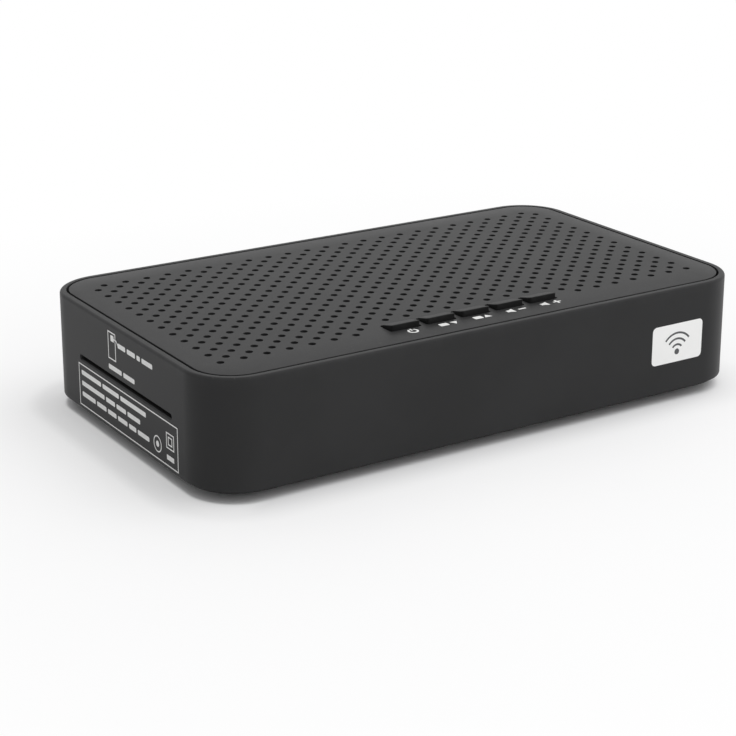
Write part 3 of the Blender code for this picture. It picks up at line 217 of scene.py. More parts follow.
# A flat mark: an outline in plan, raised by a film's thickness
def film(outline, low, thick):
    outline = np.asarray(outline, float)
    return shell(stack(np.stack([outline, outline]), [low, low + thick]))


# A band along an open or closed path in plan, half its width to either side
def band(path, width, low, thick, closed=False):
    path = np.asarray(path, float)
    ahead, behind = np.roll(path, -1, 0) - path, path - np.roll(path, 1, 0)
    if not closed:
        ahead[-1], behind[0] = behind[-1], ahead[0]
    ahead /= np.linalg.norm(ahead, axis=1)[:, None]
    behind /= np.linalg.norm(behind, axis=1)[:, None]
    along = ahead + behind
    reach = width / np.maximum((along ** 2).sum(1), 1.0)
    side = np.column_stack([along[:, 1], -along[:, 0]]) * reach[:, None]
    right, left, high = path + side, path - side, low + thick
    if not closed:
        return film(np.vstack([right, left[::-1]]), low, thick)
    return shell(stack(np.stack([right, left, left, right]), [low, low, high, high]), loop=True)


# How far each point lies inside the case's outline at the rim
def insetOf(points):
    straight = [case["width"] / 2 - case["corner"], case["depth"] / 2 - case["corner"]]
    away = np.abs(points[:, :2] - [0.0, middleY]) - straight
    outside = np.linalg.norm(np.maximum(away, 0.0), axis=1)
    return case["corner"] - outside - np.minimum(away.max(1), 0.0)


# Wear: one where both distances are nothing, falling off as a bell curve of a width
def bell(across, along, width):
    return np.exp(-((np.hypot(across, along) / width) ** 2))


corners = ("front_left", "front_right", "rear_left", "rear_right")


# The middle of a CAD node's box, and the middles in plan of one that repeats at the corners
def centreOf(node):
    low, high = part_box(node)
    return (low + high) / 2


def cornerPlaces(stem):
    return [tuple(centreOf(f"{stem}_{corner}").xy) for corner in corners]


# A mesh's points and faces, and the way back
def shapeOf(mesh):
    flat = np.zeros(len(mesh.vertices) * 3)
    mesh.vertices.foreach_get("co", flat)
    return flat.reshape(-1, 3), [list(face.vertices) for face in mesh.polygons]


def meshOf(name, shape):
    mesh = bpy.data.meshes.new(name)
    mesh.from_pydata(shape[0], [], shape[1])
    mesh.update()
    return mesh


# A shape with others cut out of it
def carved(name, shape, cutters):
    solid = bpy.data.objects.new(name, meshOf(name, shape))
    tool = bpy.data.objects.new(name + "Tool", meshOf(name + "Tool", gather(*cutters)))
    for item in (solid, tool):
        bpy.context.scene.collection.objects.link(item)
    cut = solid.modifiers.new("cut", "BOOLEAN")
    cut.operation, cut.solver, cut.object = "DIFFERENCE", "EXACT", tool
    graph = bpy.context.evaluated_depsgraph_get()
    mesh = bpy.data.meshes.new_from_object(solid.evaluated_get(graph))
    for item in (solid, tool):
        bpy.data.objects.remove(item)
    return shapeOf(mesh)


# A finished piece in a material slot's finish, or in another one, that stands for a node
def makePiece(name, shape, slot, node=None, body="case", finish=None, crease=34, wear=None):
    mesh = meshOf(name, shape)
    mesh.shade_smooth()
    mesh.set_sharp_from_angle(angle=math.radians(crease))
    if wear:
        layer = mesh.attributes.new("edge", "FLOAT", "POINT")
        layer.data.foreach_set("value", wear(shape[0]).astype(np.float32))
    mesh.materials.append(finish or finishes[slot])
    piece = bpy.data.objects.new(name, mesh)
    bpy.context.scene.collection.objects.link(piece)
    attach(piece, body)
    if node:
        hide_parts(node)


# Finishes. Node helpers first, then the shared groups, then one material each.
def feed(tree, socket, value):
    if isinstance(value, bpy.types.NodeSocket):
        tree.links.new(value, socket)
    elif value is not None:
        socket.default_value = value


def feedAll(tree, sockets, **values):
    for label, value in values.items():
        feed(tree, sockets[label.replace("_", " ")], value)


# Puts a node into a tree and gives its outputs. Values feed its inputs in order, or by
# name where the name starts with a capital, and the other names are its own settings.
def put(tree, kind, *given, **named):
    node = tree.nodes.new(kind)
    for key in [key for key in named if key[0].islower()]:
        setattr(node, key, named.pop(key))
    for socket, value in zip(node.inputs, given):
        feed(tree, socket, value)
    feedAll(tree, node.inputs, **named)
    return node.outputs


def calculate(tree, operation, first, second=0.0, third=0.0, clamp=False):
    return put(tree, "ShaderNodeMath", first, second, third, operation=operation, use_clamp=clamp)[0]


# The values multiplied with each other, first to last
def product(tree, value, *others, clamp=False):
    for other in others:
        value = calculate(tree, "MULTIPLY", value, other, clamp=clamp)
    return value


def onVectors(tree, operation, first, second=(0.0, 0.0, 0.0), output="Vector"):
    return put(tree, "ShaderNodeVectorMath", first, second, operation=operation)[output]


def spread(tree, value, low, high, toLow=0.0, toHigh=1.0, curve="SMOOTHSTEP"):
    return put(tree, "ShaderNodeMapRange", value, low, high, toLow, toHigh, interpolation_type=curve)[0]


def oneAxis(tree, vector, axis):
    return put(tree, "ShaderNodeSeparateXYZ", vector)[axis]


def noise(tree, vector, scale, detail=3.0, roughness=0.55):
    outputs = put(tree, "ShaderNodeTexNoise", Vector=vector, Scale=scale, Detail=detail, Roughness=roughness)
    return outputs["Fac"]


def cells(tree, vector, scale, feature):
    return put(tree, "ShaderNodeTexVoronoi", feature=feature, Vector=vector, Scale=scale)["Distance"]


def blendColours(tree, factor, first, second, way="MIX"):
    others = [None] * 5    # the node's inputs for numbers and vectors
    return put(tree, "ShaderNodeMix", factor, *others, first, second, data_type="RGBA", blend_type=way)[2]


# A colour times a grey
def shaded(tree, colour, light):
    grey = put(tree, "ShaderNodeCombineColor", light, light, light)[0]
    return blendColours(tree, 1.0, colour, grey, "MULTIPLY")


def newGroup(name, inputs, outputs):
    group = bpy.data.node_groups.new(name, "ShaderNodeTree")
    kinds = {"value": "NodeSocketFloat", "vector": "NodeSocketVector", "colour": "NodeSocketColor"}
    for way, sockets in (("INPUT", inputs), ("OUTPUT", outputs)):
        for label, kind in sockets.items():
            group.interface.new_socket(label, in_out=way, socket_type=kinds[kind])
    return group, group.nodes.new("NodeGroupInput").outputs, group.nodes.new("NodeGroupOutput").inputs


mould = {"cellScale": 0.55, "cellHeight": 0.7, "fineHeight": 0.6, "toneScale": 0.006}


# Spark-eroded mould grain: fine noise over a coarser cell pattern, as a height
def makeMouldGrain():
    group, given, result = newGroup("mouldGrain", {"Vector": "vector", "Fineness": "value"},
                                    {"Height": "value", "Tone": "value"})
    place, fineness = given["Vector"], given["Fineness"]
    fine = product(group, noise(group, place, fineness, 2.0), mould["fineHeight"])
    coarse = cells(group, place, product(group, fineness, mould["cellScale"]), "SMOOTH_F1")
    feedAll(group, result, Height=calculate(group, "MULTIPLY_ADD", coarse, mould["cellHeight"], fine),
            Tone=noise(group, place, product(group, fineness, mould["toneScale"])))
    return group


handling = {"toneRange": (0.3, 0.7, 0.93, 1.07), "upward": (0.4, 0.95), "speckScale": 900.0,
            "speckRange": (0.64, 0.76), "patchScale": 38.0, "patchRange": (0.42, 0.66),
            "dustColour": (0.30, 0.29, 0.27, 1.0), "rubScale": 260.0, "rubRange": (0.38, 0.72, 0.35, 1.0),
            "toneRoughness": 0.10, "dustRoughness": 0.25, "wornRoughness": -0.14}


# A handled surface: slow changes of tone, a little dust on what faces up, and paler
# smoother edges where the edge attribute says so
def makeHandled():
    group, given, result = newGroup(
        "handledSurface",
        {"Vector": "vector", "Color": "colour", "Roughness": "value", "Tone": "value", "Dust": "value",
         "Wear": "value", "Worn Color": "colour"}, {"Color": "colour", "Roughness": "value"})
    place, tone, swing = given["Vector"], given["Tone"], handling["toneRoughness"]
    base = shaded(group, given["Color"], spread(group, tone, *handling["toneRange"]))
    normal = put(group, "ShaderNodeNewGeometry")["Normal"]
    facing = spread(group, oneAxis(group, normal, "Z"), *handling["upward"])
    specks = spread(group, noise(group, place, handling["speckScale"], 2.0, 0.6), *handling["speckRange"])
    patches = spread(group, noise(group, place, handling["patchScale"]), *handling["patchRange"])
    dust = product(group, specks, patches, facing, given["Dust"])
    dusty = blendColours(group, dust, base, handling["dustColour"])
    # Paler edges: partly wear, and along the case's rim and the keys' front edges partly a painted highlight
    edge = put(group, "ShaderNodeAttribute", attribute_name="edge")["Fac"]
    rubbedAndSheen = spread(group, noise(group, place, handling["rubScale"], 4.0, 0.65), *handling["rubRange"])
    worn = product(group, edge, rubbedAndSheen, given["Wear"], clamp=True)
    rough = calculate(group, "SUBTRACT", given["Roughness"], swing / 2)
    rough = calculate(group, "MULTIPLY_ADD", tone, swing, rough)
    rough = calculate(group, "MULTIPLY_ADD", dust, handling["dustRoughness"], rough)
    rough = calculate(group, "MULTIPLY_ADD", worn, handling["wornRoughness"], rough, clamp=True)
    feedAll(group, result, Color=blendColours(group, worn, dusty, given["Worn Color"]), Roughness=rough)
    return group


rolling = {"streakRange": (0.3, 0.7, 0.9, 1.0), "smudgeScale": 170.0,
           "smudgeRange": (0.35, 0.7, -0.12, 0.0), "smudgeRoughness": 0.22, "lessRoughness": 0.08}


# Rolled or turned metal: streaks stretched along one direction, and soft smudges
def makeRolledMetal():
    group, given, result = newGroup(
        "rolledMetal", {"Vector": "vector", "Stretch": "vector", "Color": "colour", "Roughness": "value"},
        {"Color": "colour", "Roughness": "value", "Height": "value"})
    streaks = noise(group, onVectors(group, "MULTIPLY", given["Vector"], given["Stretch"]), 1.0, 3.0, 0.6)
    smudges = noise(group, given["Vector"], rolling["smudgeScale"])
    light = calculate(group, "ADD", spread(group, streaks, *rolling["streakRange"]),
                      spread(group, smudges, *rolling["smudgeRange"]))
    rough = calculate(group, "SUBTRACT", given["Roughness"], rolling["lessRoughness"])
    rough = calculate(group, "MULTIPLY_ADD", smudges, rolling["smudgeRoughness"], rough, clamp=True)
    feedAll(group, result, Color=shaded(group, given["Color"], light), Roughness=rough, Height=streaks)
    return group


mouldGrain, handledSurface, rolledMetal = makeMouldGrain(), makeHandled(), makeRolledMetal()


def useGroup(tree, group, **values):
    return put(tree, "ShaderNodeGroup", node_tree=group, **values)


# A new material with its node tree and the place on the piece that patterns read
def startMaterial(name, seen):
    material = bpy.data.materials.new(name)
    material.use_nodes, material.diffuse_color = True, seen
    return material, material.node_tree, put(material.node_tree, "ShaderNodeTexCoord")["Object"]


# Feeds the shader, with a height from nought to one as a bump of that depth
def dress(tree, height, depth, **values):
    normal = put(tree, "ShaderNodeBump", Strength=1.0, Distance=depth, Height=height)[0]
    feedAll(tree, tree.nodes["Principled BSDF"].inputs, Normal=normal, **values)


# Smoother key sides in a darker colour: the darker colour is painted shade on the sides of the keys
polishAndSideShade = {"upward": (0.35, 0.85), "colour": (0.0170, 0.0170, 0.0173, 1.0), "roughness": 0.6}


# A moulded plastic or rubber: mould grain for the bump, the handled surface for the rest
def moulded(name, colour, roughness, fineness, depth, specular=0.5, dust=0.3, wear=0.5,
            worn=(0.12, 0.12, 0.122, 1.0), polishedWithShadedSides=False):
    material, tree, place = startMaterial(name, colour)
    grain = useGroup(tree, mouldGrain, Vector=place, Fineness=fineness)
    finish = useGroup(tree, handledSurface, Vector=place, Color=colour, Roughness=roughness,
                      Tone=grain["Tone"], Dust=dust, Wear=wear, Worn_Color=worn)
    shade, rough, height = finish["Color"], finish["Roughness"], grain["Height"]
    # Keys: the grain stays on what faces up, and the smooth sides are painted darker as shade
    if polishedWithShadedSides:    # grain on what faces up, and smooth darker sides
        normal = put(tree, "ShaderNodeNewGeometry")["Normal"]
        upward = spread(tree, oneAxis(tree, normal, "Z"), *polishAndSideShade["upward"])
        # Painted shade: what does not face up takes the darker colour
        shade = blendColours(tree, upward, polishAndSideShade["colour"], shade)
        rough = product(tree, rough, spread(tree, upward, 0.0, 1.0, polishAndSideShade["roughness"], 1.0, "LINEAR"))
        height = product(tree, height, upward)
    dress(tree, height, depth, Base_Color=shade, Roughness=rough, Specular_IOR_Level=specular)
    return material


def metal(name, colour, roughness, stretch, depth):
    material, tree, place = startMaterial(name, colour)
    finish = useGroup(tree, rolledMetal, Vector=place, Stretch=stretch, Color=colour, Roughness=roughness)
    dress(tree, finish["Height"], depth,
          Base_Color=finish["Color"], Roughness=finish["Roughness"], Metallic=1.0)
    return material


board = {"laminate": (0.018, 0.105, 0.045, 1.0), "overCopper": (0.04, 0.19, 0.085, 1.0),
         "tin": (0.62, 0.58, 0.47, 1.0), "seen": (0.03, 0.16, 0.07, 1.0), "worn": (0.1, 0.2, 0.1, 1.0),
         "roughness": 0.38, "dust": 0.5, "trackScale": 260.0, "trackRange": (0.03, 0.07, 1.0, 0.0),
         "holeScale": 190.0, "holeRange": (0.10, 0.14, 1.0, 0.0), "fineness": 2600.0, "depth": 0.00003}


# Solder mask over copper: the edges of cells as tracks, round dots as plated holes
def solderMask():
    material, tree, place = startMaterial("solderMask", board["seen"])
    tracks = spread(tree, cells(tree, place, board["trackScale"], "DISTANCE_TO_EDGE"), *board["trackRange"])
    holes = spread(tree, cells(tree, place, board["holeScale"], "F1"), *board["holeRange"])
    grain = useGroup(tree, mouldGrain, Vector=place, Fineness=board["fineness"])
    mask = blendColours(tree, tracks, board["laminate"], board["overCopper"])
    mask = blendColours(tree, holes, mask, board["tin"])
    finish = useGroup(tree, handledSurface, Vector=place, Color=mask, Roughness=board["roughness"],
                      Tone=grain["Tone"], Dust=board["dust"], Wear=0.0, Worn_Color=board["worn"])
    dress(tree, calculate(tree, "MAXIMUM", tracks, holes), board["depth"],
          Base_Color=finish["Color"], Roughness=finish["Roughness"])
    return material


# Each plastic: name, colour, roughness, grains per metre, grain depth, specular level,
# dust, wear and the colour of its paler edges, which along the case's rim and the keys'
# front edges is partly wear and partly a painted highlight. Each metal: name, colour,
# roughness, streaks per metre along X, Y and Z, and streak depth.
blackRubbedAndSheen = (0.050, 0.050, 0.051, 1.0)
finishes = {
    "case_plastic": moulded("casePlastic", (0.0290, 0.0290, 0.0295, 1.0), 0.43, 5200.0, 0.000011, 0.105,
                            0.12, 0.25, blackRubbedAndSheen),
    "key_plastic": moulded("keyPlastic", (0.0290, 0.0290, 0.0295, 1.0), 0.47, 7000.0, 0.000008, 0.10,
                           0.08, 0.2, blackRubbedAndSheen, polishedWithShadedSides=True),
    "rubber": moulded("rubber", (0.016, 0.016, 0.016, 1.0), 0.86, 2600.0, 0.00002, 0.35, 0.6, 0.3),
    "socket_plastic": moulded("socketPlastic", (0.018, 0.018, 0.019, 1.0), 0.36, 3800.0, 0.000005, 0.5,
                              0.25, 0.3),
    "switch_cream": moulded("switchCream", (0.62, 0.56, 0.43, 1.0), 0.48, 3200.0, 0.000006, 0.5, 0.1, 0.2,
                            (0.75, 0.70, 0.58, 1.0)),
    "insulator_white": moulded("insulatorWhite", (0.78, 0.77, 0.73, 1.0), 0.36, 2600.0, 0.000005, 0.5,
                               0.1, 0.2, (0.85, 0.84, 0.80, 1.0)),
    "board_green": solderMask(),
    "chip_black": moulded("chipBlack", (0.022, 0.022, 0.023, 1.0), 0.58, 9000.0, 0.000008, 0.4, 0.3, 0.3),
    "tin_plate": metal("tinPlate", (0.66, 0.66, 0.64, 1.0), 0.30, (900.0, 90.0, 900.0), 0.000004),
    "nickel": metal("nickel", (0.72, 0.69, 0.63, 1.0), 0.24, (2600.0, 240.0, 2600.0), 0.000003),
    "zinc_screw": metal("zincScrew", (0.42, 0.42, 0.43, 1.0), 0.36, (1500.0, 1500.0, 300.0), 0.000004),
    "sink_aluminium": metal("sinkAluminium", (0.58, 0.59, 0.60, 1.0), 0.42, (160.0, 2200.0, 160.0),
                            0.000006),
    "contact_gold": metal("contactGold", (0.90, 0.66, 0.27, 1.0), 0.26, (1400.0, 140.0, 1400.0), 0.000003),
    "lamp_red": moulded("lampRed", (0.42, 0.018, 0.018, 1.0), 0.20, 1800.0, 0.000002, 0.6, 0.1, 0.2,
                        (0.6, 0.08, 0.08, 1.0)),
}
whiteInk = moulded("whiteInk", (0.80, 0.80, 0.79, 1.0), 0.50, 6500.0, 0.000006, 0.4, 0.0, 0.0)
labelVinyl = moulded("labelVinyl", (0.84, 0.84, 0.83, 1.0), 0.34, 1500.0, 0.000004, 0.5, 0.0, 0.0)
greyInk = moulded("greyInk", (0.075, 0.077, 0.080, 1.0), 0.45, 6500.0, 0.000005, 0.4, 0.0, 0.0)

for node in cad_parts.values():
    for holder in node.material_slots:
        known = [key for key in finishes if holder.material and key in holder.material.name]
        holder.material = finishes[known[0] if known else "chip_black"]
print("finishes made")


# Case. A profile lists (inset from the rim's outline, height), and each point's ring is a
# rounded rectangle drawn in by that inset.
case = {"width": 0.1800, "depth": 0.1043, "height": 0.0312, "wall": 0.0025,
        "lean": math.tan(math.radians(0.4755)), "corner": 0.0152, "innerCorner": 0.0145, "cornerSteps": 26,
        "rimWall": 0.00215, "rimRound": 0.00085, "innerRound": 0.00012, "footRound": 0.00025,
        "ledgeDrop": 0.0021, "ledgeWidth": 0.0013, "ledgeHeight": 0.0016, "rimWornAndHighlight": 0.0016,
        "footWorn": 0.0005}
cardSlot = {"drop": 0.0155, "length": 0.0570, "height": 0.0012, "forward": 0.0013, "leadIn": 0.00035,
            "outside": 0.002, "reach": 0.0075}
post = {"radius": 0.0024, "bore": 0.0013, "boreDeep": 0.0077, "aboveBase": 0.0023, "edge": 0.0002,
        "web": 0.0016, "webAboveFoot": 0.0023, "webFromBore": 0.0004, "intoWall": 0.0013,
        "bracketWide": 0.0060, "bracketHigh": 0.0034, "bracketCorner": 0.0006, "underBoard": 0.0003}
sockets = {"clearance": 0.0003, "antennaBarrel": 0.0047, "audioSleeve": 0.0042, "avNose": 0.0027,
           "hdmi": (0.0150, 0.0056), "hdmiCut": 0.0017, "usb": (0.0132, 0.0058), "power": (0.0090, 0.0108),
           "corner": 0.0007, "plugInside": 0.0040, "plugLong": 0.0060}
wallBottom = topZ - case["height"]
leftX, frontY, rearY = -case["width"] / 2, middleY - case["depth"] / 2, middleY + case["depth"] / 2
# Small sizes shared by the pieces: the radius at which a turned shape closes, a fine edge
# and a socket's lip
pole, fine, lip = 0.0003, 0.0001, 0.0003


# How far the leaning walls stand out beyond the rim
def outset(height):
    return case["lean"] * (topZ - height)


# Rings for a profile in parts, each with a corner radius that shrinks with the inset
def caseRings(*parts):
    points = np.vstack([np.asarray(part, float) for _, part in parts])
    radius = np.concatenate([np.full(len(part), corner) for corner, part in parts])
    inset, height = points.T
    outlines = roundedRings(case["width"] / 2 - inset, case["depth"] / 2 - inset, radius - inset,
                            case["cornerSteps"])
    return stack(outlines, height) + [0.0, middleY, 0.0]


# The wide socket's outline: a rectangle with two corners cut off, and with points all
# along it so that it can be lofted. Local +Y ends up pointing down.
def wideOutline(grow, samples=64):
    halfX, halfY, cut = sockets["hdmi"][0] / 2 + grow, sockets["hdmi"][1] / 2 + grow, sockets["hdmiCut"]
    turns = np.array([(halfX, -halfY + cut), (halfX, halfY), (-halfX, halfY), (-halfX, -halfY + cut),
                      (-halfX + cut, -halfY), (halfX - cut, -halfY)])
    legs = np.roll(turns, -1, 0) - turns
    run = np.concatenate([[0.0], np.cumsum(np.linalg.norm(legs, axis=1))])
    even, beside = np.linspace(0, run[-1], samples, endpoint=False), 2e-4
    where = np.unique(np.concatenate([even, run[:-1] + beside, run[1:] - beside]))
    closed = np.vstack([turns, turns[:1]])
    return np.column_stack([np.interp(where, run, closed[:, k]) for k in range(2)]) * [1.0, -1.0]


# Plugs in the shape of the rear openings, pushed through the wall along Y
def rearPlugs():
    gap, plugs, outlines = sockets["clearance"], [], {}
    circular = {"antenna_socket": "antennaBarrel", "audio_sleeve": "audioSleeve", "av_jack": "avNose"}
    for node, key in circular.items():
        outlines[node] = circleRings(sockets[key] + gap, 48)[0]
    for node, key in {"usb_socket": "usb", "power_jack": "power"}.items():
        wide, high = sockets[key]
        outlines[node] = roundedRings(wide / 2 + gap, high / 2 + gap, sockets["corner"], 4)[0]
    outlines["hdmi_socket"] = wideOutline(gap)
    for node, outline in outlines.items():
        middle = centreOf(node)
        plug = film(outline, -sockets["plugInside"], sockets["plugLong"])
        plugs.append(toRear(plug, (middle.x, rearY + outset(middle.z), middle.z)))
    return plugs


# Posts for the case screws, each a bored cylinder with a web into the wall beside it
def screwPosts():
    shapes, top, low = [], topZ - case["ledgeDrop"], baseLow + post["aboveBase"]
    radius, bore, edge, gap = post["radius"], post["bore"], post["edge"], post["webFromBore"]
    bored, webLow = low + post["boreDeep"], wallBottom + post["webAboveFoot"]
    pillar = turned([(pole, bored + 0.0005), (bore, bored), (bore, low + edge), (bore + edge, low),
                     (radius - edge, low), (radius, low + edge), (radius, top), (pole, top)], 28)
    for x, y in cornerPlaces("case_screw"):
        reach = case["depth"] / 2 - abs(y - middleY) - post["intoWall"]
        web = block((post["web"], reach - bore - gap, top - webLow), edge, edge / 2, 2)
        side = math.copysign(reach + bore + gap, y - middleY)
        shapes += [moved(pillar, x, y), moved(web, x, y + side / 2, webLow)]
    return shapes


# Brackets behind the front wall, bored through for the key board's screws
def brackets():
    shapes, wallY, wide = [], frontY + post["intoWall"], post["bracketWide"]
    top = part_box("key_board")[0].z - post["underBoard"]
    heights = [top, top - post["bracketHigh"]]
    bore = stack(circleRings(np.full(2, post["bore"]), 24), heights)
    for side in ("left", "right"):
        middle = centreOf("key_board_screw_" + side)
        deep = middle.y + wide / 2 - wallY
        outer = roundedRings(wide / 2, np.full(2, deep / 2), post["bracketCorner"])
        outer = stack(outer + [0.0, wallY + deep / 2 - middle.y], heights)
        shapes.append(moved(plate([outer[None], bore[None]]), middle.x, middle.y))
    return shapes


# The card slot's cutter: a lead-in that narrows, then straight through the wall
def slotCutter():
    halfX, halfZ, lead = cardSlot["length"] / 2, cardSlot["height"] / 2, cardSlot["leadIn"]
    outside, height = cardSlot["outside"], topZ - cardSlot["drop"]
    grown, corner = np.array([3 * lead, lead, 0.0, 0.0]), halfZ * 0.4
    radii = [halfZ + 2 * lead, halfZ + lead * 0.9, corner, corner]
    ends = roundedRings(halfX + grown, halfZ + grown, radii, 4)
    points, faces = shell(stack(ends, [0.0, outside, outside + lead, cardSlot["reach"]]))
    return np.column_stack([leftX - outset(height) - outside + points[:, 2],
                            middleY - cardSlot["forward"] + points[:, 0], height + points[:, 1]]), faces


# The walls' profile runs up the outside, over the rim and down the inside, round its
# ledge. It is carried round the case, and the slot and the rear openings are cut out.
def makeHousing():
    rim, soft, heel, wall = case["rimRound"], case["innerRound"], case["footRound"], case["wall"]
    inside, ledge, bottom = case["rimWall"], topZ - case["ledgeDrop"], wallBottom
    shelf, under, lean = wall + case["ledgeWidth"], ledge - case["ledgeHeight"], outset(bottom)
    straight = (bottom + heel, bottom + 0.0015, topZ - 0.003, topZ - rim - 0.0004)
    outer = [(heel - lean, bottom), (heel * 0.3 - lean, bottom + heel * 0.3),
             *((-outset(height), height) for height in straight), *arc(rim, topZ - rim, rim, 180, 90, 8)]
    inner = [(rim + 0.0004, topZ), (inside - soft - 0.0003, topZ),
             *arc(inside - soft, topZ - soft, soft, 90, 0, 3), (inside, ledge), (shelf, ledge),
             (shelf, under), (wall - outset(ledge), under), (wall - lean, bottom)]
    rings = caseRings((case["corner"], outer), (case["innerCorner"], inner))
    walls = carved("housing", shell(rings, loop=True), [slotCutter()] + rearPlugs())

    # Paler along the rim, where it is partly wear and partly a painted highlight of the rounded edge, and at
    # the foot of the walls
    def wear(points):
        inset = insetOf(points)
        upper = bell(np.maximum(inset, 0.0), topZ - points[:, 2], case["rimWornAndHighlight"])
        lower = bell(0.0, points[:, 2] - wallBottom, case["footWorn"]) * (inset < 0.001)
        return np.maximum(upper, 0.6 * lower)

    makePiece("caseWalls", gather(walls, *screwPosts(), *brackets()), "case_plastic", "housing", wear=wear)


makeHousing()
print("case walls made")


# Lid: its edge rounds off, its vents are chamfered, and the keys have windows
lid = {"thickness": 0.0018, "seam": 0.0007, "edge": 0.00015, "ventRadius": 0.00105, "ventEdge": 0.00006,
       "ventSides": 16, "ventPitch": 0.006893, "rowPitch": 0.003389, "frontInset": 0.0146,
       "rearInset": 0.0109, "sideInset": 0.0095, "besideKeys": 0.0050, "behindKeys": 0.0030,
       "windowGap": 0.0004, "windowEdge": 0.00012, "windowCorner": 0.0006, "worn": 0.0005}
keys = {"names": ("power", "channel_down", "channel_up", "volume_down", "volume_up"), "width": 0.0092,
        "depth": 0.0052, "pitch": 0.0117, "setback": 0.01475, "fall": 0.78, "corner": 0.00055,
        "rim": 0.00028, "crown": 0.00006, "flange": 0.0008, "flangeHeight": 0.0010, "flangeCorner": 0.0007,
        "stem": 0.0030, "stemCorner": 0.0004, "belowLid": 0.0003, "worn": 0.0004}
keyX = (np.arange(5) - 2) * keys["pitch"]
keyY = frontY + keys["setback"]


# Vent places: a row every rowPitch, and in each a hole every ventPitch, with every second
# row shifted by half a pitch and one hole shorter; none round the keys
def ventPlaces():
    rows = int((case["depth"] - lid["frontInset"] - lid["rearInset"]) / lid["rowPitch"]) + 1
    longest = int((case["width"] - 2 * lid["sideInset"]) / lid["ventPitch"] + 0.5) + 1
    row, column = np.meshgrid(np.arange(rows), np.arange(longest), indexing="ij")
    count = longest - row % 2
    x = (column - (count - 1) / 2) * lid["ventPitch"]
    y = frontY + lid["frontInset"] + row * lid["rowPitch"]
    beside = keyX[-1] + keys["width"] / 2 + lid["besideKeys"]
    behind = keyY + keys["depth"] / 2 + lid["behindKeys"]
    keep = (column < count) & ((np.abs(x) > beside) | (y > behind))
    return np.column_stack([x[keep], y[keep]])


def makeLid():
    inset, edge, low = case["rimWall"] + lid["seam"], lid["edge"], topZ - lid["thickness"]
    border = caseRings((case["innerCorner"], [*arc(inset + edge, topZ - edge, edge, 90, 180), (inset, low)]))
    # A hole is wider by its edge at the top and has its own size below that
    ventEdge, windowEdge, gap = lid["ventEdge"], lid["windowEdge"], lid["windowGap"]
    wider = np.array([1, 0, 0])
    vent = stack(circleRings(lid["ventRadius"] + ventEdge * wider, lid["ventSides"]),
                 [topZ, topZ - ventEdge, low])
    sizes = [size + windowEdge * wider
             for size in (keys["width"] / 2 + gap, keys["depth"] / 2 + gap, lid["windowCorner"])]
    window = stack(roundedRings(*sizes, 4), [topZ, topZ - windowEdge, low])
    places, keyPlaces = ventPlaces(), np.column_stack([keyX, np.full(5, keyY)])
    shape = plate([border[None], copies(vent, places), copies(window, keyPlaces)])

    # Paler along the lid's edge by the seam: partly wear, partly a painted highlight of the rounded edge
    def wear(points):
        return bell(insetOf(points) - inset, topZ - points[:, 2], lid["worn"])

    makePiece("ventedLid", shape, "case_plastic", "top_panel", crease=28, wear=wear)
    print("lid:", len(places), "vents")


makeLid()


# Base tray: a lip inside the walls, a thin rounded edge under them, and a floor with air
# slots, pits for the feet and stepped holes for the case screws
tray = {"edgeHigh": 0.0008, "inset": 0.0016, "floorThick": 0.0020, "lipInset": 0.0028, "lipThick": 0.0014,
        "lipHigh": 0.0020, "edge": 0.0002, "slotLong": 0.0220, "slotWide": 0.0020, "slotPitch": 0.0050,
        "slotAlong": 0.0270, "slotEdge": 0.00015, "footRadius": 0.0053, "footPit": 0.0006,
        "headRadius": 0.0022, "headPit": 0.0011, "bore": 0.0013, "post": 0.0030,
        "postSunk": 0.0004, "fillet": 0.0014, "worn": 0.0006}


def makeTray():
    bottom, edge, soft, bore = baseLow, tray["edge"], tray["slotEdge"], tray["bore"]
    top, floor = bottom + tray["edgeHigh"], bottom + tray["floorThick"]
    outer, reach, lipTop = tray["lipInset"], tray["inset"] - outset(wallBottom), wallBottom + tray["lipHigh"]
    inner = outer + tray["lipThick"]
    upper = [(inner, floor), (inner, lipTop - edge), (inner - edge, lipTop), (outer + edge, lipTop),
           (outer, lipTop - edge), (outer, top)]
    lower = [*arc(reach + edge, top - edge, edge, 90, 180),
             *arc(reach + edge, bottom + edge, edge, 180, 270)]
    border = caseRings((case["innerCorner"], upper), (case["corner"], lower))

    side, deep, wider = tray["slotLong"] / 2, tray["slotWide"] / 2, np.array([0.0, 0.0, soft])
    air = stack(roundedRings(side + wider, deep + wider, [deep * 0.98, deep * 0.98, deep], 5),
                [floor, bottom + soft, bottom])
    airPlaces = [(x, row * tray["slotPitch"] + middleY) for x in (-tray["slotAlong"], tray["slotAlong"])
                 for row in range(-3, 4)]
    seat, headRadius, footRadius = bottom + tray["headPit"], tray["headRadius"], tray["footRadius"]
    head = stack(circleRings([bore, bore, headRadius, headRadius + fine], 28), [floor, seat, seat, bottom])
    pit = stack(circleRings([footRadius, footRadius + fine], 40), [bottom + tray["footPit"], bottom])
    floorShape = plate([border[None], copies(air, airPlaces), copies(head, cornerPlaces("case_screw")),
                        copies(pit, cornerPlaces("foot"))], blind=(3,))

    low, postTop = floor - tray["postSunk"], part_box("base_plate")[1].z
    radius, fillet = tray["post"], tray["fillet"]
    boardPost = turned([(bore, low), (radius + 0.0006, low),
                        *arc(radius + fillet, floor + 0.0008, fillet, 235, 180, 3),
                        (radius, postTop - edge), (radius - edge, postTop), (bore, postTop)], 28, loop=True)
    posts = [moved(boardPost, x, y) for x, y in cornerPlaces("board_screw")]

    def wear(points):
        return bell(insetOf(points) - reach, points[:, 2] - bottom, tray["worn"])

    makePiece("baseTray", gather(floorShape, *posts), "case_plastic", "base_plate", wear=wear)


makeTray()
print("base tray made")


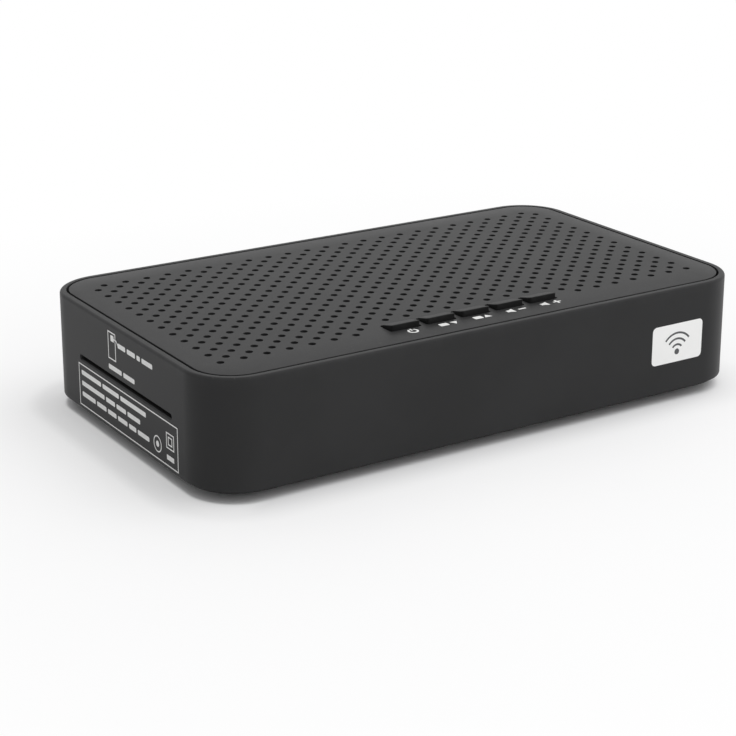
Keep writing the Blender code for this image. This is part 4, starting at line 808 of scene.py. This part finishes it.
# Keys: a cap with rounded upright corners and rim, on a flange that stays under the lid
# and a stem that meets the switch. Above the lid the height shrinks evenly towards the
# rear by the share called fall, so that the cap is a wedge.
def makeKeys():
    rim, crown, corner, flange = keys["rim"], keys["crown"], keys["corner"], keys["flange"]
    halfX, halfY, stem = keys["width"] / 2, keys["depth"] / 2, keys["stem"] / 2
    stemCorner, flangeCorner = keys["stemCorner"], keys["flangeCorner"]
    under = topZ - lid["thickness"] - keys["belowLid"]
    flangeLow = under - keys["flangeHeight"]
    for name, x in zip(keys["names"], keyX):
        low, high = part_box("key_" + name)
        stemLow, top = low.z, high.z
        # Each row: half width, half depth, corner radius, height
        rows = [(stem - 2 * fine, stem - 2 * fine, stemCorner - fine, stemLow)]
        rows += [(stem, stem, stemCorner, height) for height in (stemLow + 2 * fine, flangeLow)]
        edges = (fine, flangeLow), (0.0, flangeLow + fine), (0.0, under - fine), (fine, under)
        rows += [(halfX + flange - inset, halfY + flange - inset, flangeCorner - inset, height)
                 for inset, height in edges]
        rows += [(halfX, halfY, corner, height) for height in (under, topZ, top - crown - rim - 0.0003)]
        rows += [(halfX - inset, halfY - inset, corner - 0.8 * inset, height)
                 for inset, height in arc(rim, top - crown - rim, rim, 180, 90, 7)]
        rows += [(halfX * 0.8, halfY * 0.62, 0.0004, top - crown * 0.35),
                 (halfX * 0.5, halfY * 0.3, 0.0002, top)]
        *sizes, heights = np.array(rows).T
        points, faces = shell(stack(roundedRings(*sizes, 5), heights))
        above = np.maximum(points[:, 2] - topZ, 0.0)
        points[:, 2] -= above * keys["fall"] * np.clip(points[:, 1] / halfY / 2 + 0.5, 0.0, 1.0)

        # Paler along the cap's front top edge: partly wear, partly a painted highlight of the rounding
        def wear(points):
            return bell(points[:, 1] - keyY + halfY, top - points[:, 2], keys["worn"])

        makePiece(f"pushKey.{name}", moved((points, faces), x, keyY), "key_plastic", "key_" + name,
                  body=f"{name}_key", wear=wear)


makeKeys()
print("keys made")


# Feet: a disc with a rounded rim and a shallow dish underneath
foot = {"radius": 0.0050, "rim": 0.0004, "dish": 0.00015, "middle": 0.0008}


def makeFeet():
    radius, rim, dish, middle = foot["radius"], foot["rim"], foot["dish"], foot["middle"]
    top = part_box("foot_front_left")[1].z
    shape = turned([(middle, dish), (radius * 0.45, dish), (radius * 0.62, dish * 0.3), (radius * 0.7, 0.0),
                    *arc(radius - rim, rim, rim, 270, 360, 5), (radius, top - fine), (radius - fine, top),
                    (middle, top)], 40)
    for corner, (x, y) in zip(corners, cornerPlaces("foot")):
        makePiece(f"rubberFoot.{corner}", moved(shape, x, y), "rubber", "foot_" + corner)


# Case screws, heads down: a domed head with a cross cut into it and a threaded shank
screw = {"head": 0.0019, "headHigh": 0.0009, "dome": 0.0009, "domeAt": 0.0010, "sideLow": 0.00075,
         "middle": 0.0004, "shank": 0.0010, "pitch": 0.0006, "threadDepth": 0.00014, "point": 0.0012,
         "crossLong": 0.0022, "crossWide": 0.00055, "crossDeep": 0.0006, "overlap": 0.0002}


# A triangle wave of height over pitch less the share of a turn: one at a whole number,
# nought halfway, so that it winds up as a helix
def helix(heights, pitch, sides):
    turn = np.arange(sides) / sides
    return np.abs(2 * ((heights[:, None] / pitch - turn) % 1.0) - 1.0)


# Shank radius over angle and height: the core plus a ridge that climbs one pitch a turn
def threadedShank(length, sides=28):
    height = np.linspace(0.0, length, int(length / screw["pitch"] * 6))
    ridge = screw["threadDepth"] * (1.0 - helix(height, screw["pitch"], sides))
    fade = np.clip(np.minimum(height, length - height) / screw["pitch"], 0.0, 1.0)[:, None]
    point = np.clip((length - height) / screw["point"], 0.25, 1.0)[:, None]
    radius = (screw["shank"] - screw["threadDepth"] + ridge * fade) * point
    return shell(stack(circleRings(radius, sides), height))


def makeCaseScrews():
    long, wide, middle, side = screw["crossLong"] / 2, screw["crossWide"] / 2, screw["middle"], screw["head"]
    arm = np.array([(long, wide), (wide, wide), (wide, long)])
    cross = np.vstack([arm, (arm * [-1, 1])[::-1], -arm, (arm * [1, -1])[::-1]])
    for corner, (x, y) in zip(corners, cornerPlaces("case_screw")):
        low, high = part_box("case_screw_" + corner)
        bottom, seat = low.z, low.z + screw["headHigh"]
        dome = arc(screw["domeAt"], bottom + screw["dome"], screw["dome"], 270, 350, 6)
        head = turned([(middle, bottom), *dome, (side, bottom + screw["sideLow"]), (side, seat),
                       (middle, seat)], 36)
        cut = carved("screwHead", head, [film(cross, bottom - 0.001, screw["crossDeep"] + 0.001)])
        shank = threadedShank(high.z - seat + screw["overlap"])
        shape = gather(cut, moved(shank, 0.0, 0.0, seat - screw["overlap"]))
        makePiece(f"caseScrew.{corner}", moved(shape, x, y), "zinc_screw", "case_screw_" + corner)


makeFeet()
makeCaseScrews()
print("feet and case screws made")

# Rear sockets. Each is built along +Z from the middle of its solid's inner end, and then
# turned to the rear.
antenna = {"flange": 0.0060, "flangeThick": 0.0010, "bore": 0.0033, "boreDeep": 0.0080, "pitch": 0.00079,
           "thread": 0.00034, "bevel": 0.0005, "pinHole": 0.0008, "core": 0.0030, "nutInner": 0.0050,
           "washerEdge": 0.00015,
           "nutCone": ((0.8, 0.0), (0.925, 0.0), (0.945, 0.0001), (0.972, 0.00025), (1.0, 0.0005))}
sound = {"nose": 0.0034, "hole": 0.0016, "holeDeep": 0.0120, "sleeveInner": 0.0037, "behindSleeve": 0.0003,
         "avBore": 0.0018, "avNose": 0.0032, "contactFrom": 0.0040, "contactTo": 0.0012}
power = {"bore": 0.0032, "boreDeep": 0.0095, "corner": 0.0006, "pinTip": 0.0006}


# A solid's size: across, up and along to the rear
def sizeOf(node):
    low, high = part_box(node)
    return high.x - low.x, high.z - low.z, high.y - low.y


def makeRear(name, shape, slot, root, stands=True, crease=34):
    low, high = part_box(root)
    place = ((low.x + high.x) / 2, low.y, (low.z + high.z) / 2)
    makePiece(name, toRear(shape, place), slot, root if stands else None, crease=crease)


# A turned profile whose outside is drawn in by a helix between two heights, as a thread is
def threadedTurn(profile, start, stop, sides=48):
    (radius, height), pitch = np.asarray(profile, float).T, antenna["pitch"]
    outside = (radius > antenna["bore"] * 1.2) & (height > start) & (height < stop)
    fade = np.clip(np.minimum(height - start, stop - height) / (pitch / 2), 0.0, 1.0)
    drawnIn = antenna["thread"] * helix(height, pitch, sides) * fade[:, None]
    radii = radius[:, None] - np.where(outside[:, None], drawnIn, 0.0)
    return shell(stack(circleRings(radii, sides), height))


# The antenna socket's barrel, contact, core and washer: profiles of (radius, height)
# turned about Z, from the mouth's inside over the edge and back to the inner end
def makeAntenna():
    mouth, radius, bore = sizeOf("antenna_socket")[2], sockets["antennaBarrel"], antenna["bore"]
    flange, thick, hole = antenna["flange"], antenna["flangeThick"], antenna["pinHole"]
    depth, bevel = mouth - antenna["boreDeep"], antenna["bevel"]
    rows = np.arange(thick + 0.0012, mouth - 0.0006, antenna["pitch"] / 6)[::-1]
    profile = [(pole, depth), (bore, depth), (bore, mouth - lip), (bore + 2 * fine, mouth),
               (radius - bevel, mouth), (radius, mouth - bevel), *((radius, row) for row in rows),
               (radius, thick), (flange - fine, thick), (flange, thick - fine), (flange, fine),
               (flange - fine, 0.0), (pole, 0.0)]
    barrel = threadedTurn(profile, thick + 0.001, mouth - bevel)
    contact = turned([(hole - lip, mouth - 0.0006), (hole - 2 * fine, mouth - bevel), (hole, mouth - bevel),
                      (hole, depth + 4 * fine), (hole - lip, depth + 4 * fine)], 20, loop=True)
    makeRear("antennaBarrel", gather(barrel, contact), "nickel", "antenna_socket")

    core, top = antenna["core"], sizeOf("antenna_insulator")[2]
    profile = [(hole, 0.0), (core - fine, 0.0), (core, fine), (core, top - 2 * fine),
               (core - 2 * fine, top), (hole + 4 * fine, top), (hole, top - 4 * fine)]
    makeRear("antennaCore", turned(profile, 36, loop=True), "insulator_white", "antenna_insulator")

    across, _, top = sizeOf("antenna_washer")
    inner, soft = antenna["nutInner"], antenna["washerEdge"]
    side = across / 2 - soft
    profile = [(inner, fine), (inner + fine, 0.0), *arc(side, soft, soft, 270, 360, 2),
               *arc(side, top - soft, soft, 0, 90, 2), (inner + fine, top), (inner, top - fine)]
    makeRear("antennaWasher", turned(profile, 72, loop=True), "nickel", "antenna_washer")


# Hexagonal nut: at each angle its radius is the flat's distance over the cosine of the
# angle to that flat's middle, kept under a cone near both faces
def makeNut(sides=96):
    (across, _, top), inner = sizeOf("antenna_nut"), antenna["nutInner"]
    angle, sixth = np.arange(sides) * 2 * math.pi / sides, math.pi / 3
    hexagon = across / 2 * math.cos(sixth / 2) / np.cos(angle % sixth - sixth / 2)
    share, rise = np.array(antenna["nutCone"]).T
    limit = across / 2 * np.concatenate([share, [1.0], share[::-1]])
    outside = stack(circleRings(np.minimum(hexagon, limit[:, None]), sides),
                    np.concatenate([rise, [top / 2], (top - rise)[::-1]]))
    bore = stack(circleRings([inner + lip, inner, inner, inner + lip], sides), [top, top - lip, lip, 0.0])
    shape = shell(np.concatenate([outside, bore]), loop=True)
    makeRear("antennaNut", shape, "nickel", "antenna_nut", crease=25)


# A block inside the wall with a round nose through it and a blind hole down the nose
def nosedBlock(node, blockDeep, nose, hole, holeDeep, bevel):
    wide, high, mouth = sizeOf(node)
    body = block((wide, high, blockDeep), 0.0004, 0.00025, 3)
    return gather(body, turned([(pole, mouth - holeDeep), (hole, mouth - holeDeep), (hole, mouth - bevel),
                                (hole + bevel * 0.6, mouth), *arc(nose - lip, mouth - lip, lip, 90, 0, 3),
                                (nose, 2 * lip), (pole, 2 * lip)], 40))


# Two nosed blocks, with turned rings of metal round the one nose and inside the other
def makeSoundSockets():
    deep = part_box("audio_sleeve")[0].y - sound["behindSleeve"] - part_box("audio_socket")[0].y
    shape = nosedBlock("audio_socket", deep, sound["nose"], sound["hole"], sound["holeDeep"], 0.0004)
    makeRear("audioBlock", shape, "socket_plastic", "audio_socket")

    (across, _, top), inner = sizeOf("audio_sleeve"), sound["sleeveInner"]
    middle, half = (across / 2 + inner) / 2, (across / 2 - inner) / 2
    profile = [(inner, 0.0), (across / 2, 0.0), *arc(middle, top - half, half, 0, 180, 6)]
    makeRear("audioSleeve", turned(profile, 56, loop=True), "nickel", "audio_sleeve")

    mouth, bore = sizeOf("av_jack")[2], sound["avBore"]
    shape = nosedBlock("av_jack", mouth - sound["avNose"], sockets["avNose"], bore, sound["holeDeep"], lip)
    makeRear("soundAndPictureJack", shape, "socket_plastic", "av_jack")
    low, high = mouth - sound["contactFrom"], mouth - sound["contactTo"]
    ring = turned([(bore - lip, low), (bore, low), (bore, high), (bore - fine, high + 2 * fine),
                   (bore - lip, high)], 28, loop=True)
    makeRear("soundAndPictureContact", ring, "nickel", "av_jack", stands=False)


# Each digital socket: its name, the solid that it stands for, its tongue's width, thickness
# and rise from the middle, and its contacts' number, pitch and width
digital = {"plans": (("pictureSocket", "hdmi_socket", (0.0110, 0.0011, 0.0), (10, 0.00055, 0.00030)),
                     ("dataSocket", "usb_socket", (0.0106, 0.0018, -0.0009), (4, 0.0022, 0.0010))),
           "sheet": 0.0004, "back": 0.0030, "corner": 0.0006, "tongueBack": 0.0012, "contactThick": 0.00016}


# A sheet-metal shell, open at its mouth, whose rim is rolled over: rings drawn in by shares
# of the sheet's thickness, up the outside, over the rim and down the inside
def sheetShell(outline, deep):
    thin, reach = digital["sheet"], np.abs(outline).max(0)
    share = np.array([0.3, 0.0, 0.0, 0.2, 0.8, 1.0, 1.0])[:, None, None]
    heights = [0.0, thin * 0.3, deep - thin * 0.4, deep, deep, deep - thin * 0.4, digital["back"]]
    return shell(stack(outline * (1.0 - share * thin / reach), heights))


def makeDigitalSockets():
    back = digital["back"]
    for name, node, (wide, thick, rise), (count, pitch, width) in digital["plans"]:
        across, up, deep = sizeOf(node)
        plain = roundedRings(across / 2, up / 2, digital["corner"], 4)[0]
        outline = wideOutline(0.0) if node == "hdmi_socket" else plain
        makeRear(name + "Shell", sheetShell(outline, deep), "tin_plate", node)
        long = deep - back - digital["tongueBack"]
        tongue = moved(block((wide, thick, long), 0.0002, 0.00015, 2), 0.0, rise, back)
        makeRear(name + "Tongue", tongue, "socket_plastic", node, stands=False)
        strip = block((width, digital["contactThick"], long * 0.8), 0.00007, 0.00004, 1)
        strips = [moved(strip, (index - (count - 1) / 2) * pitch, rise + thick / 2, back + 2 * fine)
                  for index in range(count)]
        makeRear(name + "Contacts", gather(*strips), "contact_gold", node, stands=False)


# Rounded rectangles up the outside, joined over the mouth to circles down the bore
def makePowerJack():
    (wide, high, mouth), bore = sizeOf("power_jack"), power["bore"]
    deep, drawnIn = mouth - power["boreDeep"], np.array([2 * fine, 0.0, 0.0, lip])
    outer = roundedRings(wide / 2 - drawnIn, high / 2 - drawnIn, power["corner"], 4)
    # The bore's rings have their points at the angles of the rectangle's own points
    angle = np.arctan2(outer[2][:, 1], outer[2][:, 0])
    inner = np.array([bore + lip, bore, bore, pole])[:, None, None] * directions(angle)
    shape = shell(stack(np.concatenate([outer, inner]),
                        [0.0, 2 * fine, mouth - lip, mouth, mouth, mouth - lip, deep, deep]))
    makeRear("powerJack", shape, "socket_plastic", "power_jack")

    (across, _, top), tip = sizeOf("power_pin"), power["pinTip"]
    profile = [(2 * fine, 0.0), (across / 2, 0.0), *arc(across / 2 - tip, top - tip, tip, 0, 80, 5),
               (2 * fine, top)]
    makeRear("powerPin", turned(profile, 28), "nickel", "power_pin")


makeAntenna()
makeNut()
makeSoundSockets()
makeDigitalSockets()
makePowerJack()
print("rear sockets made")


# Printed marks: thin films of ink, in plan on the lid and along the lean on the walls.
# Each is drawn in its own plane, x to the right and y up as its reader sees it.
ink = {"thick": 0.000010, "sunk": 0.000015, "line": 0.00036, "wordHigh": 0.00140, "wordGap": 0.0010}
keyMark = {"y": -0.0429, "places": (-0.0230, -0.0111, 0.0001, 0.0119, 0.0240), "line": 0.00062,
           "apart": (0.0018, 0.0015, 0.0019, 0.0021), "arm": 0.0013,
           "triangle": ((-0.0012, -0.0009), (0.0012, -0.0009), (0.0, 0.0011)),
           "speaker": ((-0.0015, -0.0007), (-0.0006, -0.0007), (0.0009, -0.0014), (0.0009, 0.0014),
                       (-0.0006, 0.0007), (-0.0015, 0.0007))}
wallFrame = {"sides": (-0.0285, -0.0300, 0.0331, -0.0176), "start": (-0.0268, -0.0199), "rowPitch": 0.00325,
             "rows": ((0.0130, 0.0105, 0.0158), (0.0150, 0.0058, 0.0060, 0.0078),
                      (0.0088, 0.0062, 0.0055, 0.0060, 0.0045, 0.0070)),
             "ring": (0.0212, -0.0258, 0.0022), "square": (0.0287, -0.0228, 0.0021),
             "bar": (0.0287, -0.0276, 0.0021)}
cardPicture = {"sides": (-0.0078, -0.0099, -0.0033, -0.0022), "chip": (-0.0052, -0.0038, 0.0010, 0.0009),
               "bend": (-0.0027, -0.0038), "note": (-0.0018, -0.0048, (0.0048, 0.0050, 0.0020, 0.0064)),
               "name": (-0.0080, -0.0124, (0.0082, 0.0070))}
label = {"x": 0.0640, "y": -0.0165, "wide": 0.0190, "high": 0.0118, "corner": 0.0014,
         "arcs": (0.0022, 0.0040, 0.0058), "line": 0.00060, "dot": 0.0009, "drop": -0.0028}


# From a mark's plane to the lid or to a wall, where it leans out as the wall does
def onLid(shape, x, y):
    return moved(shape, x, middleY + y, topZ)


def onLeftWall(shape):
    along, height, out = (shape[0] + [0.0, topZ, 0.0]).T
    return np.column_stack([leftX - outset(height) - out, middleY - along, height]), shape[1]


def onFrontWall(shape, x, y):
    along, height, out = (shape[0] + [x, topZ + y, 0.0]).T
    return np.column_stack([along, frontY - outset(height) - out, height]), shape[1]


def stroke(path, width, closed=False):
    return band(path, width, -ink["sunk"], ink["thick"] + ink["sunk"], closed)


def patch(outline):
    return film(outline, -ink["sunk"], ink["thick"] + ink["sunk"])


def pad(x, y, halfX, halfY, corner, steps=2):
    return patch(roundedRings(halfX, halfY, corner, steps)[0] + [x, y])


def dot(x, y, radius, sides):
    return patch(circleRings(radius, sides)[0] + [x, y])


def box(left, bottom, right, top):
    return stroke([(left, bottom), (right, bottom), (right, top), (left, top)], ink["line"], closed=True)


# A line of bars in place of words, drop below y: each starts where the lengths and gaps
# before it end
def words(x, y, lengths, drop=0.0):
    middles = x + np.cumsum(lengths) - np.array(lengths) / 2 + np.arange(len(lengths)) * ink["wordGap"]
    half = ink["wordHigh"] / 2
    return [pad(middle, y - drop, length / 2, half, half * 0.5, 3)
            for length, middle in zip(lengths, middles)]


# The marks in front of the keys: a switch ring, a screen with an arrow, a speaker with a sign
def keyMarks():
    line, arm, triangle = keyMark["line"], keyMark["arm"], np.array(keyMark["triangle"])
    ring = gather(stroke(arc(0, 0, arm, 122, 418, 36), line),
                  stroke([(0.0, 0.0004), (0.0, 0.0018)], line * 0.9))
    screen, speaker = pad(0.0, 0.0, 0.0014, 0.0010, 0.0003, 3), patch(keyMark["speaker"])
    minus = stroke([(-arm, 0.0), (arm, 0.0)], line)
    plus = gather(minus, *(stroke([(0.0, low), (0.0, high)], line)
                           for low, high in ((line / 2, arm), (-arm, -line / 2))))
    pairs = ((screen, patch(triangle[::-1] * [1, -1])), (screen, patch(triangle)),
             (speaker, minus), (speaker, plus))
    return [ring] + [gather(moved(first, -apart, 0.0), moved(second, apart, 0.0))
                     for (first, second), apart in zip(pairs, keyMark["apart"])]


def makeMark(name, shape, finish=whiteInk):
    makePiece(name, shape, "case_plastic", finish=finish)


def makeMarks():
    for name, x, shape in zip(keys["names"], keyMark["places"], keyMarks()):
        makeMark(f"keyMark.{name}", onLid(shape, x, keyMark["y"]))

    # Left wall: a ruled frame below the slot, and above the slot a card with a note beside it
    ruled, card, line = wallFrame, cardPicture, ink["line"]
    shapes = [box(*ruled["sides"])]
    for index, lengths in enumerate(ruled["rows"]):
        shapes += words(*ruled["start"], lengths, index * ruled["rowPitch"])
    x, y, reach = ruled["ring"]
    shapes += [stroke(arc(x, y, reach, 0, 345, 24), line, closed=True), dot(x, y, reach * 0.4, 20)]
    x, y, reach = ruled["square"]
    shapes += [box(x - side, y - side, x + side, y + side) for side in (reach, reach * 0.5)]
    x, y, reach = ruled["bar"]
    shapes.append(pad(x, y, reach, ink["wordHigh"] / 2, fine))
    makeMark("wallFrame", onLeftWall(gather(*shapes)))

    x, y, halfX, halfY = card["chip"]
    leader = stroke([(x + halfX, y), card["bend"], card["note"][:2]], line)
    shapes = [box(*card["sides"]), pad(x, y, halfX, halfY, 2 * fine), leader]
    makeMark("cardPicture", onLeftWall(gather(*shapes, *words(*card["note"]), *words(*card["name"]))))

    # Front wall: a plain rounded label with arcs that spread from a dot
    x, y, drop = label["x"], label["y"], label["drop"]
    plain = pad(0.0, 0.0, label["wide"] / 2, label["high"] / 2, label["corner"], 6)
    makeMark("frontLabel", onFrontWall(plain, x, y), labelVinyl)
    shapes = [stroke(arc(0, drop, radius, 40, 140, 20), label["line"]) for radius in label["arcs"]]
    raised = moved(gather(*shapes, dot(0.0, drop, label["dot"], 28)), 0.0, 0.0, ink["thick"] * 0.9)
    makeMark("labelArcs", onFrontWall(raised, x, y), greyInk)


makeMarks()
print("marks made")


# Stage: a white floor in even light. What the lens and glossy surfaces see of it turns to
# plain white away from the object, and what they see of the sky is plain white. Each
# paling grows between two distances from the case to a share of white. The first starts
# at the case's outline, so that it is painted light that thins the case's shadow there.
stage = {"radius": 3.0, "fineRadius": 0.6, "sides": 96, "colour": (0.90, 0.90, 0.905, 1.0),
         "mottled": (0.885, 0.885, 0.89, 1.0), "mottleScale": 9.0, "grainScale": 900.0,
         "grainDepth": 0.000005, "roughness": (0.86, 0.94),
         "paling": ((-0.001, 0.012, 0.50), (0.010, 0.170, 0.50)),
         "leftShadowLift": (-0.0008, 0.0005, 0.33), "leftSide": (-0.086, -0.068), "sky": 0.80, "skyLean": 0.55,
         "lampPower": 0.34, "lampSize": 1.6, "lampPlace": (0.7, -0.4, 1.5)}


def seenDirectly(tree):
    path = put(tree, "ShaderNodeLightPath")
    seen = calculate(tree, "MAXIMUM", path["Is Camera Ray"], path["Is Glossy Ray"])
    return calculate(tree, "MAXIMUM", seen, path["Is Transmission Ray"])


# Distance from the case's outline in plan: the length of what is left of the absolute
# place after the half sizes less the corner's radius are taken off, less that radius
def awayFromCase(tree, place):
    corner = case["corner"]
    straight = (case["width"] / 2 - corner, case["depth"] / 2 - corner, 0.0)
    centred = onVectors(tree, "ABSOLUTE", onVectors(tree, "ADD", place, (0.0, -middleY, 0.0)))
    beyond = onVectors(tree, "MAXIMUM", onVectors(tree, "SUBTRACT", centred, straight))
    return calculate(tree, "SUBTRACT", onVectors(tree, "LENGTH", beyond, output="Value"), corner)


# The floor: circles of growing radius, joined by quads
def makeFloor():
    sides, middle = stage["sides"], stage["fineRadius"]
    radii = np.concatenate([np.linspace(0.01, middle, 30), np.linspace(middle + 0.1, stage["radius"], 12)])
    rings = stack(circleRings(radii, sides), np.zeros(len(radii)))
    index = np.arange(len(radii) * sides).reshape(-1, sides)
    inner, outer = index[:-1], index[1:]
    quads = np.stack([inner, outer, np.roll(outer, -1, 1), np.roll(inner, -1, 1)], 2)
    mesh = meshOf("floor", (rings.reshape(-1, 3), quads.reshape(-1, 4).tolist() + [index[0].tolist()]))
    mesh.shade_smooth()
    floor = bpy.data.objects.new("floor", mesh)
    bpy.context.scene.collection.objects.link(floor)
    material, tree, place = startMaterial("paperFloor", stage["colour"])
    grain, mottle = noise(tree, place, stage["grainScale"]), noise(tree, place, stage["mottleScale"], 2.0)
    dress(tree, grain, stage["grainDepth"], Specular_IOR_Level=0.0,
          Base_Color=blendColours(tree, spread(tree, mottle, 0.3, 0.7), stage["colour"], stage["mottled"]),
          Roughness=spread(tree, grain, 0.3, 0.7, *stage["roughness"]))
    away, white = awayFromCase(tree, place), 0.0
    for low, high, share in stage["paling"]:
        white = calculate(tree, "MULTIPLY_ADD", spread(tree, away, low, high, curve="LINEAR"), share, white)
    # Beside the left wall it turns pale sooner: painted light that narrows the case's shadow there
    low, high, share = stage["leftShadowLift"]
    left = spread(tree, oneAxis(tree, place, "X"), *stage["leftSide"], share, 0.0)
    white = calculate(tree, "MAXIMUM", white, product(tree, left, spread(tree, away, low, high)))
    mix = put(tree, "ShaderNodeMixShader", product(tree, white, seenDirectly(tree)),
              tree.nodes["Principled BSDF"].outputs[0], put(tree, "ShaderNodeEmission")[0])
    feed(tree, tree.nodes["Material Output"].inputs["Surface"], mix[0])
    mesh.materials.append(material)


def makeLight():
    world = bpy.data.worlds.new("evenSky")
    world.use_nodes = True
    tree, sky = world.node_tree, world.node_tree.nodes["Background"].inputs
    # Its strength grows evenly with how far a direction leans towards +X
    lean = oneAxis(tree, put(tree, "ShaderNodeTexCoord")["Generated"], "X")
    light = calculate(tree, "MULTIPLY_ADD", lean, stage["sky"] * stage["skyLean"], stage["sky"])
    strength = spread(tree, seenDirectly(tree), 0.0, 1.0, light, 1.0, "LINEAR")
    feedAll(tree, sky, Strength=strength, Color=(1.0, 1.0, 1.0, 1.0))
    bpy.context.scene.world = world
    lamp = bpy.data.lights.new("overheadSoftbox", "AREA")
    lamp.shape, lamp.size = "DISK", stage["lampSize"]
    # Power for a given light on a floor right below it: a disc seen by that share
    radius, place = stage["lampSize"] / 2, Vector(stage["lampPlace"])
    share = radius ** 2 / (radius ** 2 + place.z ** 2)
    lamp.energy = stage["lampPower"] / share * math.pi * (math.pi * radius ** 2)
    softbox = bpy.data.objects.new("overheadSoftbox", lamp)
    softbox.location, softbox.rotation_euler = place, place.to_track_quat("Z", "Y").to_euler()
    softbox.visible_glossy = softbox.visible_camera = False
    bpy.context.scene.collection.objects.link(softbox)


makeFloor()
makeLight()
bpy.context.scene.view_settings.view_transform = "Standard"
